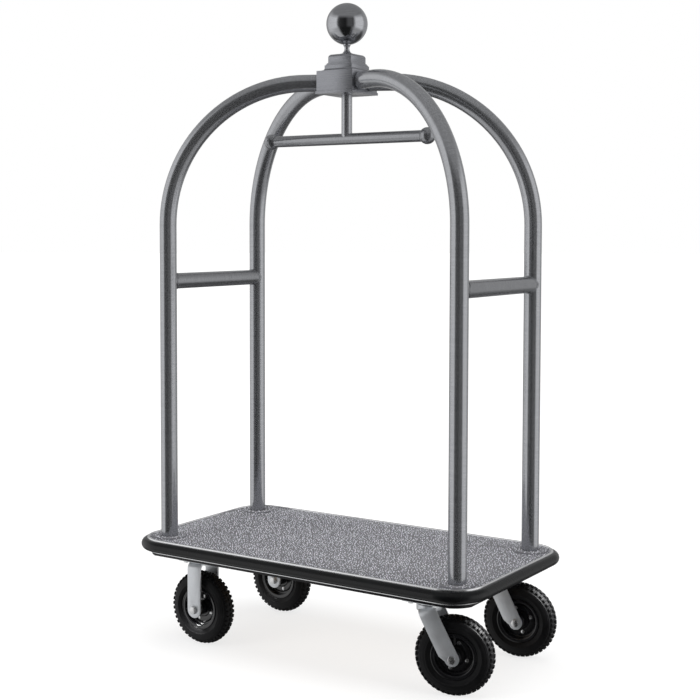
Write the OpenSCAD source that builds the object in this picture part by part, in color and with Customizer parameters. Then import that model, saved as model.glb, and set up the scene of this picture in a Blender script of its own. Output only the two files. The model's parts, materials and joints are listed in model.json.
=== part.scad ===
// Hotel luggage cart: a carpeted deck on four pneumatic casters under a birdcage of four tube arches.
// Millimetres. The origin is on the floor under the middle of the deck. +Z is up, +X points to the
// swivel casters, and +Y runs across the deck to the rear pair of posts.

/* [Deck] */
// Length over the metal edge channel
deck_l = 1060; // [900:2:1300]
// Width over the metal edge channel
deck_w = 562; // [480:2:700]
// Corner radius of the edge channel
deck_corner_r = 85; // [70:1:110]
// Height of the carpet above the floor
carpet_z = 293.5; // [285:0.5:340]
// Thickness of the plywood deck board
board_t = 25; // [15:0.5:32]
// Thickness of the carpet with its pile
carpet_t = 6; // [4:0.5:9]

/* [Edge channel and bumper] */
// Sheet thickness of the edge channel
channel_t = 1.5; // [1:0.1:2.5]
// Thickness of the channel's upright web
channel_web = 2; // [1.5:0.1:3]
// Width of the channel's top lip over the carpet edge
lip_top = 8; // [6:0.5:12]
// Width of the channel's bottom lip under the board
lip_bottom = 14; // [10:0.5:18]
// Height of the D-section rubber bumper
bumper_h = 30; // [20:1:34]
// Flat base thickness of the bumper behind its half-round face
bumper_base = 1; // [0.5:0.5:4]
// Gap of the butt joint in the bumper
bumper_seam = 0.6; // [0.3:0.1:2]

/* [Birdcage] */
// Distance from the ends of the deck to the post axes
post_inset_x = 66; // [60:1:120]
// Distance from the sides of the deck to the post axes
post_inset_y = 74; // [64:1:110]
// Outer diameter of the arch tubes
tube_d = 47; // [36:0.5:56]
// Wall of all tubes
tube_wall = 2; // [1.5:0.1:3]
// Height of the tube axis where the arches meet at the crown
crown_z = 1566; // [1400:1:1900]
// Straight run of each arch tube between its bend and its end inside the crown block
arch_run = 59; // [30:1:120]
// Least gap between neighbouring arch tubes inside the crown block
arch_gap = 1.4; // [1:0.1:6]
// Height of the hand rail axis
rail_z = 1019; // [800:1:1100]
// How much thinner the hand rails are than the posts
rail_less = 2.5; // [1:0.5:10]

/* [Post feet] */
// Outer diameter of the flange rings under the carpet
flange_d = 94; // [80:1:110]
// Thickness of the flange rings
flange_t = 3; // [2:0.5:5]
// Height of the plug inside each post
plug_h = 24; // [15:1:40]
// Diameter of the post bolts
post_bolt_d = 10; // [8:1:12]

/* [Crown and finial] */
// Least depth that the arch tubes run into the crown block
crown_grip = 3.5; // [3:0.5:14]
// Metal beside the tube holes of the crown block
crown_side = 11; // [9:0.5:24]
// Mean of the metal above and below the tube holes of the crown block
crown_cover = 4; // [4:0.5:12]
// Wall of the crown block
crown_wall = 5; // [4:0.5:8]
// Thickness of the base plate under the crown block
crown_plate_t = 7; // [7:1:20]
// Border of the base plate around the crown block
crown_plate_lip = 2; // [0:0.5:6]
// Diameter of the finial ball
ball_d = 113; // [80:1:130]
// Height of the square finial base
finial_base_h = 46; // [40:1:60]
// Height of the finial neck between base and ball
neck_h = 28; // [22:1:45]
// Least diameter of the finial neck
neck_d = 13.5; // [12:0.5:20]
// Diameter of the threaded stud that ties the crown together
stud_d = 10; // [8:1:11]

/* [Garment bar] */
// Height of the garment bar axis
bar_z = 1413; // [1250:1:1500]
// Outer diameter of the garment bar
bar_d = 31; // [22:0.5:36]
// Distance between the centres of the end balls
bar_l = 508; // [400:2:620]
// Diameter of the end balls
bar_ball_d = 45; // [36:1:56]
// Outer diameter of the hanger stem
stem_d = 29.5; // [20:0.5:34]

/* [Underframe] */
// Width of the underframe tubes
frame_tube_w = 30; // [20:1:34]
// Height of the underframe tubes
frame_tube_h = 15; // [12:1:25]
// Wall of the underframe tubes
frame_wall = 2; // [1.5:0.5:3]
// Distance from the channel's outer face to the underframe
frame_inset = 19; // [18:1:30]
// Thickness of the caster pads welded under the frame
pad_t = 6; // [4:1:10]

/* [Casters] */
// Distance from the left end of the deck to the axles of the rigid casters
rigid_inset = 173; // [120:1:220]
// Distance from the right end of the deck to the swivel pivots
swivel_inset = 156; // [140:1:220]
// Distance from the sides of the deck to the casters
caster_inset = 93; // [85:1:110]
// Diameter of the pneumatic wheels
wheel_d = 205; // [168:1:215]
// Section width of the tyres
tyre_w = 54; // [46:1:58]
// Horizontal distance from the swivel pivot to the axle
trail = 67; // [45:1:70]
// Direction of the front swivel caster at rest, degrees from +X
front_swivel_angle = 17; // [-180:1:180]
// Direction of the rear swivel caster at rest, degrees from +X
rear_swivel_angle = 8; // [-180:1:180]
// Width of the fork strip
fork_w = 45; // [36:1:50]
// Thickness of the fork strip
fork_t = 5; // [4:0.5:6]
// Clear distance between the fork legs
fork_gap = 74; // [70:1:84]
// Outer bend radius of the fork strip
fork_bend_r = 22; // [12:1:26]
// Length of the caster top plates
plate_l = 105; // [100:1:112]
// Width of the caster top plates
plate_w = 90; // [84:1:94]
// Thickness of the caster top plates
plate_t = 5; // [4:0.5:6]
// Diameter of the axle bolts
axle_d = 12; // [10:0.1:15]

/* [Clearances] */
// Radial gap around shafts that turn
run_gap = 0.05; // [0.02:0.01:0.1]
// Radial gap around screws, bolts and tubes in their holes
fit_gap = 0.1; // [0.05:0.05:0.3]
// Gap between turning and standing faces
side_gap = 0.4; // [0.3:0.1:1]

/* [Hidden] */
$fn = 64;
eps = 1;                                      // how far a cutter runs past the face it cuts

// heights, from the carpet downwards
board_top = carpet_z - carpet_t;
board_bottom = board_top - board_t;
channel_top = carpet_z + channel_t - 0.5;     // the lip bites 0.5 mm into the pile
channel_bottom = board_bottom - channel_t;
bumper_z = (channel_top + channel_bottom) / 2;
frame_bottom = board_bottom - frame_tube_h;
pad_bottom = frame_bottom - pad_t;
plate_bottom = pad_bottom - plate_t;
axle_z = wheel_d / 2;

// birdcage
post_x = deck_l / 2 - post_inset_x;
post_y = deck_w / 2 - post_inset_y;
// crown axis to post in plan, to a whole 0.01 mm so that the straight and bent tubes meet exactly
post_reach = round(100 * sqrt(post_x * post_x + post_y * post_y)) / 100;
post_turn = atan2(post_y, post_x);                      // direction of an arch, in plan
arch_end = ceil((tube_d + arch_gap) / sin(post_turn)) / 2;   // crown axis to the tube ends
arch_r = post_reach - arch_end - arch_run;              // bend radius, to the tube axis
arch_base_z = crown_z - arch_r;                         // top of the straight post
rail_d = tube_d - rail_less;
crown_l = round(2 * (arch_end * cos(post_turn) + crown_grip));
crown_w = round(crown_l * tan(post_turn) + tube_d / cos(post_turn) + 2 * crown_side);
crown_h = tube_d + 2 * crown_cover;
crown_bottom = crown_z - crown_h / 2 + 2;               // the tubes run 2 mm under mid height
crown_top = crown_bottom + crown_h;
finial_z = crown_top + finial_base_h;
ball_z = finial_z + neck_h + ball_d / 2 - 1;

// deck corners, as distances from the outer face of the channel inwards
frame_l = deck_l - 2 * frame_inset;
frame_w = deck_w - 2 * frame_inset;
pad_l = plate_l + frame_tube_w - 11;
pad_w = plate_w + 10;

// casters
rigid_x = deck_l / 2 - rigid_inset;
swivel_x = deck_l / 2 - swivel_inset;
caster_y = deck_w / 2 - caster_inset;

// screws
screw_d = 4;
screw_head_d = 7.6;
screw_head_h = 2.5;
screw_l = 18;
flange_screw_r = (tube_d / 2 + flange_d / 2) / 2;

// caster fasteners
caster_bolt_d = 8;
caster_bolt_x = 35;
caster_bolt_y = 32;
hex_head_ratio = 1.85;                        // corner diameter of a hex head to its bolt
head_h = 5.5;
nut_h = 6.5;
washer_t = 2;

// swivel bearing
ball_race_r = 22;
race_ball_d = 7;
race_balls = 16;
kingpin_d = 16;
kingpin_head_d = 24;
kingpin_head_h = 7;
fork_top = plate_bottom - race_ball_d - side_gap;       // top of the swivelling fork
race_hub_r = 32;
race_hub_h = 15;

// swivel fork: its strip leans back from the pivot to the axle
leg_front = 18;                               // leg edge ahead of the axle, across the leg
leg_back = fork_w - leg_front;
lean_off = (leg_back - leg_front) / 2;        // leg centre behind the axle, across the leg
bridge_rise = fork_top - fork_t - axle_z;     // bridge over the axle, at the pivot
lean_l = sqrt(trail * trail + bridge_rise * bridge_rise - lean_off * lean_off);
lean = atan2(trail, bridge_rise) - atan2(lean_off, lean_l);
chamfer_up = 20;                              // where the chamfer of the leg's back edge starts

// wheel section: r is the distance from the axle, and y runs along it
tyre_ring_r = axle_z - tyre_w / 2;
tyre_t = 6;
bead_lap = 2;                                 // how far the tyre's round section reaches over its bead
bead_r = tyre_ring_r - tyre_w / 2 + bead_lap; // radius of the rim's bead seat
bead_w = 36;                                  // width between the rim flanges
bead_h = 6;
bead_t = 8;
rim_t = 2;
rim_flange_h = 8.5;
rim_flange_r = bead_r + rim_flange_h;
rim_lip_d = 3.6;
rim_bolt_d = 6;
rim_bolts = 4;
rim_bolt_phase = 18;
rim_split = 0.2;                              // gap between the two rim halves
bearing_od = 32;
bearing_w = 10;
hub_w = 54;                                   // over the bearings
hub_wall = 2.5;
hub_r = bearing_od / 2 + hub_wall;
rim_bolt_r = (hub_r + bead_r - rim_t) / 2;    // half way between the hub and the bead seat
spacer_wall = 4;                              // shoulders that keep the hub between the fork legs
tube_skin = 1.5;                              // wall of the inner tube
valve_d = 7;
valve_y = 6.2;
valve_end_r = hub_r + 8.5;

// ---------- shared shapes ----------

// A rectangle of size l by w about the origin, with true round corners.
module rounded_rect(l, w, r) {
    square([l, w - 2 * r], center = true);
    square([l - 2 * r, w], center = true);
    for (x = [-1, 1], y = [-1, 1])
        translate([x * (l / 2 - r), y * (w / 2 - r)]) circle(r);
}

// A slab that follows the deck's plan, set back from the channel's outer face by inset.
module deck_slab(inset, z0, z1) {
    translate([0, 0, z0])
        linear_extrude(z1 - z0)
            rounded_rect(deck_l - 2 * inset, deck_w - 2 * inset, deck_corner_r - inset);
}

// A cylinder along +Z from z0 to z1.
module rod(d, z0, z1) {
    translate([0, 0, z0]) cylinder(h = z1 - z0, d = d);
}

// A cylinder along Y from y0 to y1.
module rod_y(d, y0, y1) {
    translate([0, y0, 0]) rotate([-90, 0, 0]) cylinder(h = y1 - y0, d = d);
}

// A hex bolt head or nut along +Z from z0, for a bolt of diameter d.
module hex(d, z0, h) {
    translate([0, 0, z0]) cylinder(h = h, d = d * hex_head_ratio, $fn = 6);
}

// Copies its children to the four posts.
module at_posts() {
    for (x = [-1, 1], y = [-1, 1]) translate([x * post_x, y * post_y, 0]) children();
}

// Copies its children to the four caster centres: rigid on the left, swivel on the right.
module at_casters() {
    for (y = [-1, 1]) {
        translate([-rigid_x, y * caster_y, 0]) children();
        translate([swivel_x, y * caster_y, 0]) children();
    }
}

// Copies its children to a caster's four bolt holes.
module at_plate_bolts() {
    for (x = [-1, 1], y = [-1, 1]) translate([x * caster_bolt_x, y * caster_bolt_y, 0]) children();
}

// Copies its children to the four countersunk screws of a post flange.
module at_flange_screws() {
    for (a = [45:90:315]) rotate([0, 0, a]) translate([flange_screw_r, 0, 0]) children();
}

// Copies its children to the screws that hold the underframe to the board.
module at_frame_screws() {
    side_y = frame_w / 2 - frame_tube_w / 2;
    for (x = [-0.3, -0.05, 0.2], y = [-1, 1])
        translate([x * frame_l, y * side_y, 0]) children();
    for (x = [-1, 1], y = [-1, 1])
        translate([x * (frame_l / 2 - frame_tube_w / 2), y * frame_w / 5, 0]) children();
}

// ---------- deck ----------

module deck_board() {
    color("burlywood") difference() {
        deck_slab(channel_web, board_bottom, board_top);
        at_posts() rod(post_bolt_d + 2 * fit_gap, board_bottom - eps, board_top + eps);
        at_posts() at_flange_screws()
            rod(screw_d + 2 * fit_gap, board_top + flange_t - screw_l - fit_gap, board_top + eps);
        at_frame_screws()
            rod(screw_d + 2 * fit_gap, board_bottom - eps, board_bottom + screw_l + fit_gap);
    }
}

// The carpet lies on the board and rises over each post flange.
module deck_carpet() {
    color("slategray") difference() {
        union() {
            deck_slab(channel_web, board_top, channel_top - channel_t);
            deck_slab(lip_top + fit_gap, board_top, carpet_z);
            at_posts() translate([0, 0, carpet_z])
                cylinder(h = flange_t, d1 = flange_d + 5, d2 = flange_d - 1);
        }
        at_posts() rod(flange_d + 2 * fit_gap, board_top - eps, board_top + flange_t);
        at_posts() rod(tube_d + 2 * fit_gap, board_top - eps, carpet_z + flange_t + eps);
    }
}

module edge_channel() {
    color("silver") difference() {
        deck_slab(0, channel_bottom, channel_top);
        deck_slab(channel_web, board_bottom, channel_top - channel_t);
        deck_slab(lip_top, carpet_z - carpet_t, channel_top + eps);
        deck_slab(lip_bottom, channel_bottom - eps, board_bottom + eps);
    }
}

// Half-round section of the bumper: x points outwards from the channel's face.
module bumper_section() {
    translate([0, -bumper_h / 2]) square([bumper_base, bumper_h]);
    intersection() {
        translate([bumper_base, 0]) circle(d = bumper_h);
        translate([bumper_base, -bumper_h / 2]) square([bumper_h, bumper_h]);
    }
}

// One straight run of the bumper along +Y, about the origin.
module bumper_run(l) {
    translate([0, l / 2, 0]) rotate([90, 0, 0]) linear_extrude(l) bumper_section();
}

module bumper() {
    run_x = deck_l - 2 * deck_corner_r;
    run_y = deck_w - 2 * deck_corner_r;
    color("black") difference() {
        translate([0, 0, bumper_z]) {
            for (side = [0, 180]) rotate([0, 0, side]) {
                translate([deck_l / 2, 0, 0]) bumper_run(run_y);
                rotate([0, 0, 90]) translate([deck_w / 2, 0, 0]) bumper_run(run_x);
                translate([run_x / 2, run_y / 2, 0])
                    rotate_extrude(angle = 90) translate([deck_corner_r, 0]) bumper_section();
                translate([-run_x / 2, run_y / 2, 0]) rotate([0, 0, 90])
                    rotate_extrude(angle = 90) translate([deck_corner_r, 0]) bumper_section();
            }
        }
        translate([deck_l / 2 - eps, -bumper_seam / 2, bumper_z - bumper_h])
            cube([bumper_h, bumper_seam, 2 * bumper_h]);
    }
}

// ---------- underframe ----------

// A frame tube along X or Y, from one corner of its plan to the other.
module frame_box(x0, x1, y0, y1, shrink = 0) {
    translate([x0 + shrink, y0 + shrink, frame_bottom + shrink])
        cube([x1 - x0 - 2 * shrink, y1 - y0 - 2 * shrink, frame_tube_h - 2 * shrink]);
}

// The cross tubes lie beside the caster pads.
cross_xs = [-rigid_x - pad_l / 2, -rigid_x + pad_l / 2, swivel_x - pad_l / 2, swivel_x + pad_l / 2];

// All tubes of the frame; shrink makes them thinner all round, for their hollow insides. The frame's
// corners are rounded to clear the bottom lip of the edge channel.
module underframe_tubes(shrink) {
    cross_l = frame_w - 2 * frame_tube_w;
    intersection() {
        union() {
            for (y = [-1, 1])
                translate([0, y * (frame_w - frame_tube_w) / 2, 0])
                    frame_box(-frame_l / 2, frame_l / 2, -frame_tube_w / 2, frame_tube_w / 2, shrink);
            for (x = concat([-1, 1] * (frame_l - frame_tube_w) / 2, cross_xs))
                translate([x, 0, 0])
                    frame_box(-frame_tube_w / 2, frame_tube_w / 2, -cross_l / 2 - shrink,
                              cross_l / 2 + shrink, shrink);
        }
        deck_slab(lip_bottom + fit_gap + shrink, frame_bottom - eps, board_bottom + eps);
    }
}

module underframe() {
    color("black") difference() {
        union() {
            underframe_tubes(0);
            at_casters() translate([-pad_l / 2, -pad_w / 2, pad_bottom]) cube([pad_l, pad_w, pad_t]);
        }
        underframe_tubes(frame_wall);
        at_casters() at_plate_bolts()
            rod(caster_bolt_d + 2 * fit_gap, pad_bottom - eps, frame_bottom + eps);
        at_frame_screws() rod(screw_d + 2 * fit_gap, frame_bottom - eps, board_bottom + eps);
    }
}

// A countersunk screw pointing down, with the top of its head at z0.
module wood_screw(z0) {
    rod(screw_d, z0 - screw_l, z0 - screw_head_h / 2);
    translate([0, 0, z0 - screw_head_h]) cylinder(h = screw_head_h, d1 = screw_d, d2 = screw_head_d);
}

module deck_screws() {
    color("lightgray") {
        at_posts() at_flange_screws() wood_screw(board_top + flange_t);
        at_frame_screws() {
            rod(screw_d, frame_bottom - fit_gap, board_bottom + screw_l);
            rod(screw_head_d, frame_bottom - screw_head_h, frame_bottom);
        }
    }
}

// ---------- post feet ----------

module post_flanges() {
    color("silver") at_posts() difference() {
        rod(flange_d, board_top, board_top + flange_t);
        rod(tube_d + 2 * fit_gap, board_top - eps, board_top + flange_t + eps);
        at_flange_screws() {
            rod(screw_d + 2 * fit_gap, board_top - eps, board_top + flange_t + eps);
            translate([0, 0, board_top + flange_t - screw_head_h - fit_gap])
                cylinder(h = screw_head_h + fit_gap, d1 = screw_d + 2 * fit_gap,
                         d2 = screw_head_d + 4 * fit_gap);
        }
    }
}

module post_plugs() {
    color("dimgray") at_posts() difference() {
        rod(tube_d - 2 * tube_wall - 2 * fit_gap, board_top, board_top + plug_h);
        rod(post_bolt_d + 2 * fit_gap, board_top - eps, board_top + plug_h + eps);
    }
}

module post_bolts() {
    washer_d = 2.1 * post_bolt_d;
    head_z = board_bottom - washer_t - head_h;
    color("lightgray") at_posts() {
        rod(post_bolt_d, board_bottom - washer_t - fit_gap, board_top + plug_h - 2);
        rod(washer_d, board_bottom - washer_t, board_bottom);
        hex(post_bolt_d, head_z, head_h);
    }
}

// ---------- birdcage ----------

// The path of one arch, filled to diameter d: post, bend and the straight end at the crown.
// The ends are longer by past, for use as a cutter.
module arch_path(d, past = 0) {
    translate([post_reach, 0, 0]) rod(d, board_top - past, arch_base_z);
    translate([post_reach - arch_r, 0, arch_base_z]) rotate([90, 0, 0])
        rotate_extrude(angle = 90) translate([arch_r, 0]) circle(d = d);
    translate([arch_end - past, 0, crown_z]) rotate([0, 90, 0])
        cylinder(h = post_reach - arch_r - arch_end + past, d = d);
}

// One arch in its diagonal plane; turn is the direction from the crown to its post.
module arch(turn) {
    color("dimgray") rotate([0, 0, turn]) difference() {
        arch_path(tube_d);
        arch_path(tube_d - 2 * tube_wall, eps);
    }
}

module front_left_arch() { arch(180 + post_turn); }
module rear_left_arch() { arch(180 - post_turn); }
module front_right_arch() { arch(-post_turn); }
module rear_right_arch() { arch(post_turn); }

// A hand rail between a front and a rear post, coped to fit both; side is -1 left, 1 right.
module handrail(side) {
    color("dimgray") translate([side * post_x, 0, rail_z]) difference() {
        rod_y(rail_d, -post_y, post_y);
        rod_y(rail_d - 2 * tube_wall, -post_y - eps, post_y + eps);
        for (y = [-1, 1]) translate([0, y * post_y, 0]) rod(tube_d, -rail_d, rail_d);
    }
}

module left_handrail() { handrail(-1); }
module right_handrail() { handrail(1); }

// ---------- crown ----------

crown_screw_d = 5;
crown_screw_l = 26;
crown_post = 14;                              // square posts in the block's corners, for the screws

// Copies its children to the screws between the base plate and the crown block.
module at_crown_screws() {
    for (x = [-1, 1], y = [-1, 1])
        translate([x * (crown_l / 2 - crown_wall - 3), y * (crown_w / 2 - crown_wall - 1), 0])
            children();
}

// A box, open below, with slanted holes for the four tube ends.
module crown_block() {
    color("gray") difference() {
        union() {
            difference() {
                translate([-crown_l / 2, -crown_w / 2, crown_bottom])
                    cube([crown_l, crown_w, crown_h]);
                translate([-crown_l / 2 + crown_wall, -crown_w / 2 + crown_wall, crown_bottom - eps])
                    cube([crown_l - 2 * crown_wall, crown_w - 2 * crown_wall,
                          crown_h - crown_wall + eps]);
            }
            for (y = [-1, 1])
                translate([-crown_l / 2 + crown_wall,
                           y * (crown_w / 2 - crown_wall - crown_post / 4) - crown_post / 4,
                           crown_bottom])
                    cube([crown_l - 2 * crown_wall, crown_post / 2, crown_h - crown_wall]);
        }
        for (turn = [post_turn, -post_turn, 180 + post_turn, 180 - post_turn])
            rotate([0, 0, turn]) translate([arch_end - fit_gap, 0, crown_z]) rotate([0, 90, 0])
                cylinder(h = crown_l, d = tube_d + 2 * fit_gap);
        rod(stud_d + 2 * fit_gap, crown_bottom, crown_top + eps);
        at_crown_screws()
            rod(crown_screw_d + 2 * fit_gap, crown_bottom - eps,
                crown_bottom - crown_plate_t + crown_screw_l + fit_gap);
    }
}

module crown_base_plate() {
    plate_l = crown_l + 2 * crown_plate_lip;
    plate_w = crown_w + 2 * crown_plate_lip;
    z0 = crown_bottom - crown_plate_t;
    color("gray") difference() {
        translate([-plate_l / 2, -plate_w / 2, z0]) cube([plate_l, plate_w, crown_plate_t]);
        rod(stud_d + 2 * fit_gap, z0 - eps, crown_bottom + eps);
        at_crown_screws() {
            rod(crown_screw_d + 2 * fit_gap, z0 - eps, crown_bottom + eps);
            rod(2 * crown_screw_d + 2 * fit_gap, z0 - eps, z0 + crown_screw_d);
        }
    }
}

module crown_screws() {
    z0 = crown_bottom - crown_plate_t;
    color("lightgray") at_crown_screws() {
        rod(crown_screw_d, z0 + eps, z0 + crown_screw_l);
        rod(2 * crown_screw_d, z0, z0 + crown_screw_d);
    }
}

// ---------- finial ----------

// Half of the moulding's outline, on the right of the axis: half width against height.
module moulding_outline() {
    foot = 6;                                 // cavetto at the foot
    step = 44;                                // half width of the lower step
    waist = 39.5;                             // half width of the groove between the steps
    top = 37;                                 // half width of the upper step
    round_r = 9;                              // ovolo at the top
    h = finial_base_h;
    difference() {
        translate([-step - foot, 0]) square([2 * (step + foot), 8]);
        for (x = [-1, 1]) translate([x * (step + foot), 2 + foot]) circle(foot);
    }
    translate([-step, 2]) square([2 * step, 14]);
    translate([-waist - 2, 16]) square([2 * waist + 4, 3]);
    translate([-waist, 19]) square([2 * waist, 3]);
    translate([-top, 22]) square([2 * top, h - 22 - round_r]);
    translate([-top + round_r, h - round_r - eps]) square([2 * (top - round_r), round_r + eps]);
    for (x = [-1, 1]) translate([x * (top - round_r), h - round_r]) circle(round_r);
}

// The square base: the same moulding on all four sides, mitred at the corners.
module finial_base() {
    l = crown_w;
    color("gray") difference() {
        translate([0, 0, crown_top]) intersection() {
            translate([0, l / 2, 0]) rotate([90, 0, 0]) linear_extrude(l) moulding_outline();
            rotate([0, 0, 90]) translate([0, l / 2, 0]) rotate([90, 0, 0])
                linear_extrude(l) moulding_outline();
        }
        rod(stud_d + 2 * fit_gap, crown_top - eps, finial_z + eps);
    }
}

// Half section of the neck: it flares into the base below and into the ball above.
module neck_section() {
    foot_r = 20.5;
    top_r = 10;
    waist_z = 0.62 * neck_h;
    low_r = foot_r - neck_d / 2;
    high_r = neck_h - waist_z;
    difference() {
        square([foot_r, waist_z]);
        translate([foot_r, waist_z]) intersection() {
            scale_circle(low_r, waist_z - 2);
            translate([-foot_r, -waist_z]) square([foot_r, waist_z]);
        }
    }
    difference() {
        translate([0, waist_z]) square([top_r, high_r]);
        translate([neck_d / 2 + high_r, waist_z]) circle(high_r);
    }
}

// A quarter hollow of half width a and half height b, as a polygon on an ellipse.
module scale_circle(a, b) {
    polygon([for (i = [0:48]) [a * cos(i * 7.5), b * sin(i * 7.5)]]);
}

// The neck with its stud, which runs down through the crown into the hanger stem.
module finial_stem() {
    color("dimgray") {
        translate([0, 0, finial_z]) rotate_extrude() neck_section();
        rod(stud_d, crown_bottom - crown_plate_t - stem_plug + 2, finial_z + eps);
        rod(stud_d - 2, finial_z + neck_h - eps, ball_z - ball_d / 2 + 14);
    }
}

module finial_ball() {
    seat_z = finial_z + neck_h;
    color("dimgray") translate([0, 0, ball_z]) difference() {
        sphere(d = ball_d, $fn = 96);
        sphere(d = ball_d - 2 * tube_wall, $fn = 96);
        rod(stud_d - 2 + 2 * fit_gap, -ball_d, 0);
        rod(ball_d, seat_z - ball_z - ball_d, seat_z - ball_z);
    }
}

// ---------- garment bar ----------

stem_plug = 24;                               // solid end of the hanger stem under the crown

module hanger_stem() {
    top = crown_bottom - crown_plate_t;
    color("dimgray") difference() {
        rod(stem_d, bar_z, top);
        rod(stem_d - 2 * tube_wall, bar_z - eps, top - stem_plug);
        rod(stud_d + 2 * fit_gap, bar_z - eps, top + eps);
        translate([0, 0, bar_z]) rotate([0, 90, 0])
            translate([0, 0, -bar_d]) cylinder(h = 2 * bar_d, d = bar_d);
    }
}

bar_in_ball = 12;                             // how far the bar runs into each end ball

module garment_bar() {
    end = bar_l / 2 - bar_ball_d / 2 + bar_in_ball;
    color("dimgray") translate([-end, 0, bar_z]) rotate([0, 90, 0]) difference() {
        cylinder(h = 2 * end, d = bar_d);
        translate([0, 0, -eps]) cylinder(h = 2 * end + 2 * eps, d = bar_d - 2 * tube_wall);
    }
}

module garment_bar_balls() {
    color("dimgray") for (x = [-1, 1]) translate([x * bar_l / 2, 0, bar_z]) difference() {
        sphere(d = bar_ball_d);
        rotate([0, -x * 90, 0]) rod(bar_d + 2 * fit_gap, bar_ball_d / 2 - bar_in_ball, bar_ball_d);
    }
}

// ---------- casters ----------

module caster_plate() {
    difference() {
        translate([-plate_l / 2, -plate_w / 2, plate_bottom]) cube([plate_l, plate_w, plate_t]);
        at_plate_bolts()
            rod(caster_bolt_d + 2 * fit_gap, plate_bottom - eps, pad_bottom + eps);
    }
}

module caster_bolts() {
    color("lightgray") at_casters() at_plate_bolts() {
        rod(caster_bolt_d, plate_bottom - fit_gap, frame_bottom + nut_h + 1);
        hex(caster_bolt_d, plate_bottom - head_h, head_h);
        hex(caster_bolt_d, frame_bottom, nut_h);
    }
}

// Outline of the bent strip across the fork: two legs and a bridge whose top is at height top.
module fork_outline(top) {
    outer = fork_gap / 2 + fork_t;
    inner_r = fork_bend_r - fork_t;
    module arch_shape(half, r, height) {
        translate([-half, -fork_w]) square([2 * half, height - r + fork_w]);
        translate([-half + r, height - r - eps]) square([2 * (half - r), r + eps]);
        for (x = [-1, 1]) translate([x * (half - r), height - r]) circle(r);
    }
    difference() {
        arch_shape(outer, fork_bend_r, top);
        arch_shape(fork_gap / 2, inner_r, top - fork_t);
        translate([-fork_gap / 2, -fork_w - eps]) square([fork_gap, 2 * eps]);
    }
}

// Extrudes the outline in the YZ plane along X, from x0 to x1.
module along_x(x0, x1) {
    translate([x0, 0, 0]) rotate([90, 0, 90]) linear_extrude(x1 - x0) children();
}

// Extrudes the outline in the XZ plane along Y, over the width of a fork.
module across_fork() {
    w = fork_gap + 4 * fork_t;
    translate([0, w / 2, 0]) rotate([90, 0, 0]) linear_extrude(w) children();
}

// A rigid fork about its axle's foot on the floor: a bent strip welded under a top plate.
module rigid_fork() {
    color("silver") difference() {
        union() {
            caster_plate();
            translate([0, 0, axle_z]) intersection() {
                along_x(-fork_w / 2, fork_w / 2) fork_outline(plate_bottom - axle_z);
                across_fork() {
                    circle(d = fork_w);
                    translate([-fork_w / 2, 0]) square([fork_w, wheel_d]);
                }
            }
        }
        translate([0, 0, axle_z]) rod_y(axle_d + 2 * fit_gap, -fork_gap, fork_gap);
    }
}

module front_left_fork() { translate([-rigid_x, -caster_y, 0]) rigid_fork(); }
module rear_left_fork() { translate([-rigid_x, caster_y, 0]) rigid_fork(); }

// Side view of a leaning leg, from the axle up, with a chamfer on its back edge.
module leg_outline() {
    circle(leg_front);
    polygon([[leg_front, 0], [leg_front, wheel_d], [-leg_back, wheel_d], [-leg_back, chamfer_up],
             [-leg_front * sin(30), -leg_front * cos(30)]]);
}

// A swivel fork about its pivot, leading towards +X.
module swivel_fork() {
    color("silver") difference() {
        union() {
            intersection() {
                translate([trail, 0, axle_z]) rotate([0, -lean, 0]) intersection() {
                    along_x(-leg_back, leg_front) fork_outline(lean_l + fork_t);
                    across_fork() leg_outline();
                }
                translate([-wheel_d, -wheel_d, 0]) cube([2 * wheel_d, 2 * wheel_d, fork_top]);
            }
            rod(2 * race_hub_r, fork_top - race_hub_h, fork_top);
        }
        rod(kingpin_d + 2 * run_gap, axle_z, fork_top + eps);
        translate([trail, 0, axle_z]) rod_y(axle_d + 2 * fit_gap, -fork_gap, fork_gap);
    }
}

// Places its children at a swivel pivot, turned to its direction at rest; side is -1 front, 1 rear.
module at_swivel(side) {
    translate([swivel_x, side * caster_y, 0])
        rotate([0, 0, side < 0 ? front_swivel_angle : rear_swivel_angle]) children();
}

module front_right_fork() { at_swivel(-1) swivel_fork(); }
module rear_right_fork() { at_swivel(1) swivel_fork(); }

// An axle bolt along Y about its own middle, with its head at -Y and its nut at +Y.
module axle_bolt() {
    half = fork_gap / 2 + fork_t;
    rod_y(axle_d, -half - fit_gap, half + nut_h + 4);
    rotate([90, 0, 0]) hex(axle_d, half, head_h + 1.5);
    rotate([-90, 0, 0]) hex(axle_d, half, nut_h + 2);
    for (side = [0, 180]) rotate([0, 0, side])
        rod_y(axle_d + spacer_wall * 2, hub_w / 2 + side_gap, fork_gap / 2);
}

module left_axle_bolts() {
    color("lightgray") for (y = [-1, 1])
        translate([-rigid_x, y * caster_y, axle_z]) axle_bolt();
}

module front_right_axle_bolt() {
    color("lightgray") at_swivel(-1) translate([trail, 0, axle_z]) axle_bolt();
}

module rear_right_axle_bolt() {
    color("lightgray") at_swivel(1) translate([trail, 0, axle_z]) axle_bolt();
}

// The swivel's top plate has a skirt that shields the balls.
module swivel_top_plates() {
    color("silver") for (y = [-1, 1]) translate([swivel_x, y * caster_y, 0]) {
        difference() {
            caster_plate();
            rod(kingpin_d, plate_bottom - eps, pad_bottom + eps);
        }
        difference() {
            rod(2 * race_hub_r - 2, plate_bottom - race_ball_d + 1, plate_bottom);
            rod(2 * race_hub_r - 7, plate_bottom - race_ball_d, plate_bottom + fit_gap);
        }
    }
}

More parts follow.
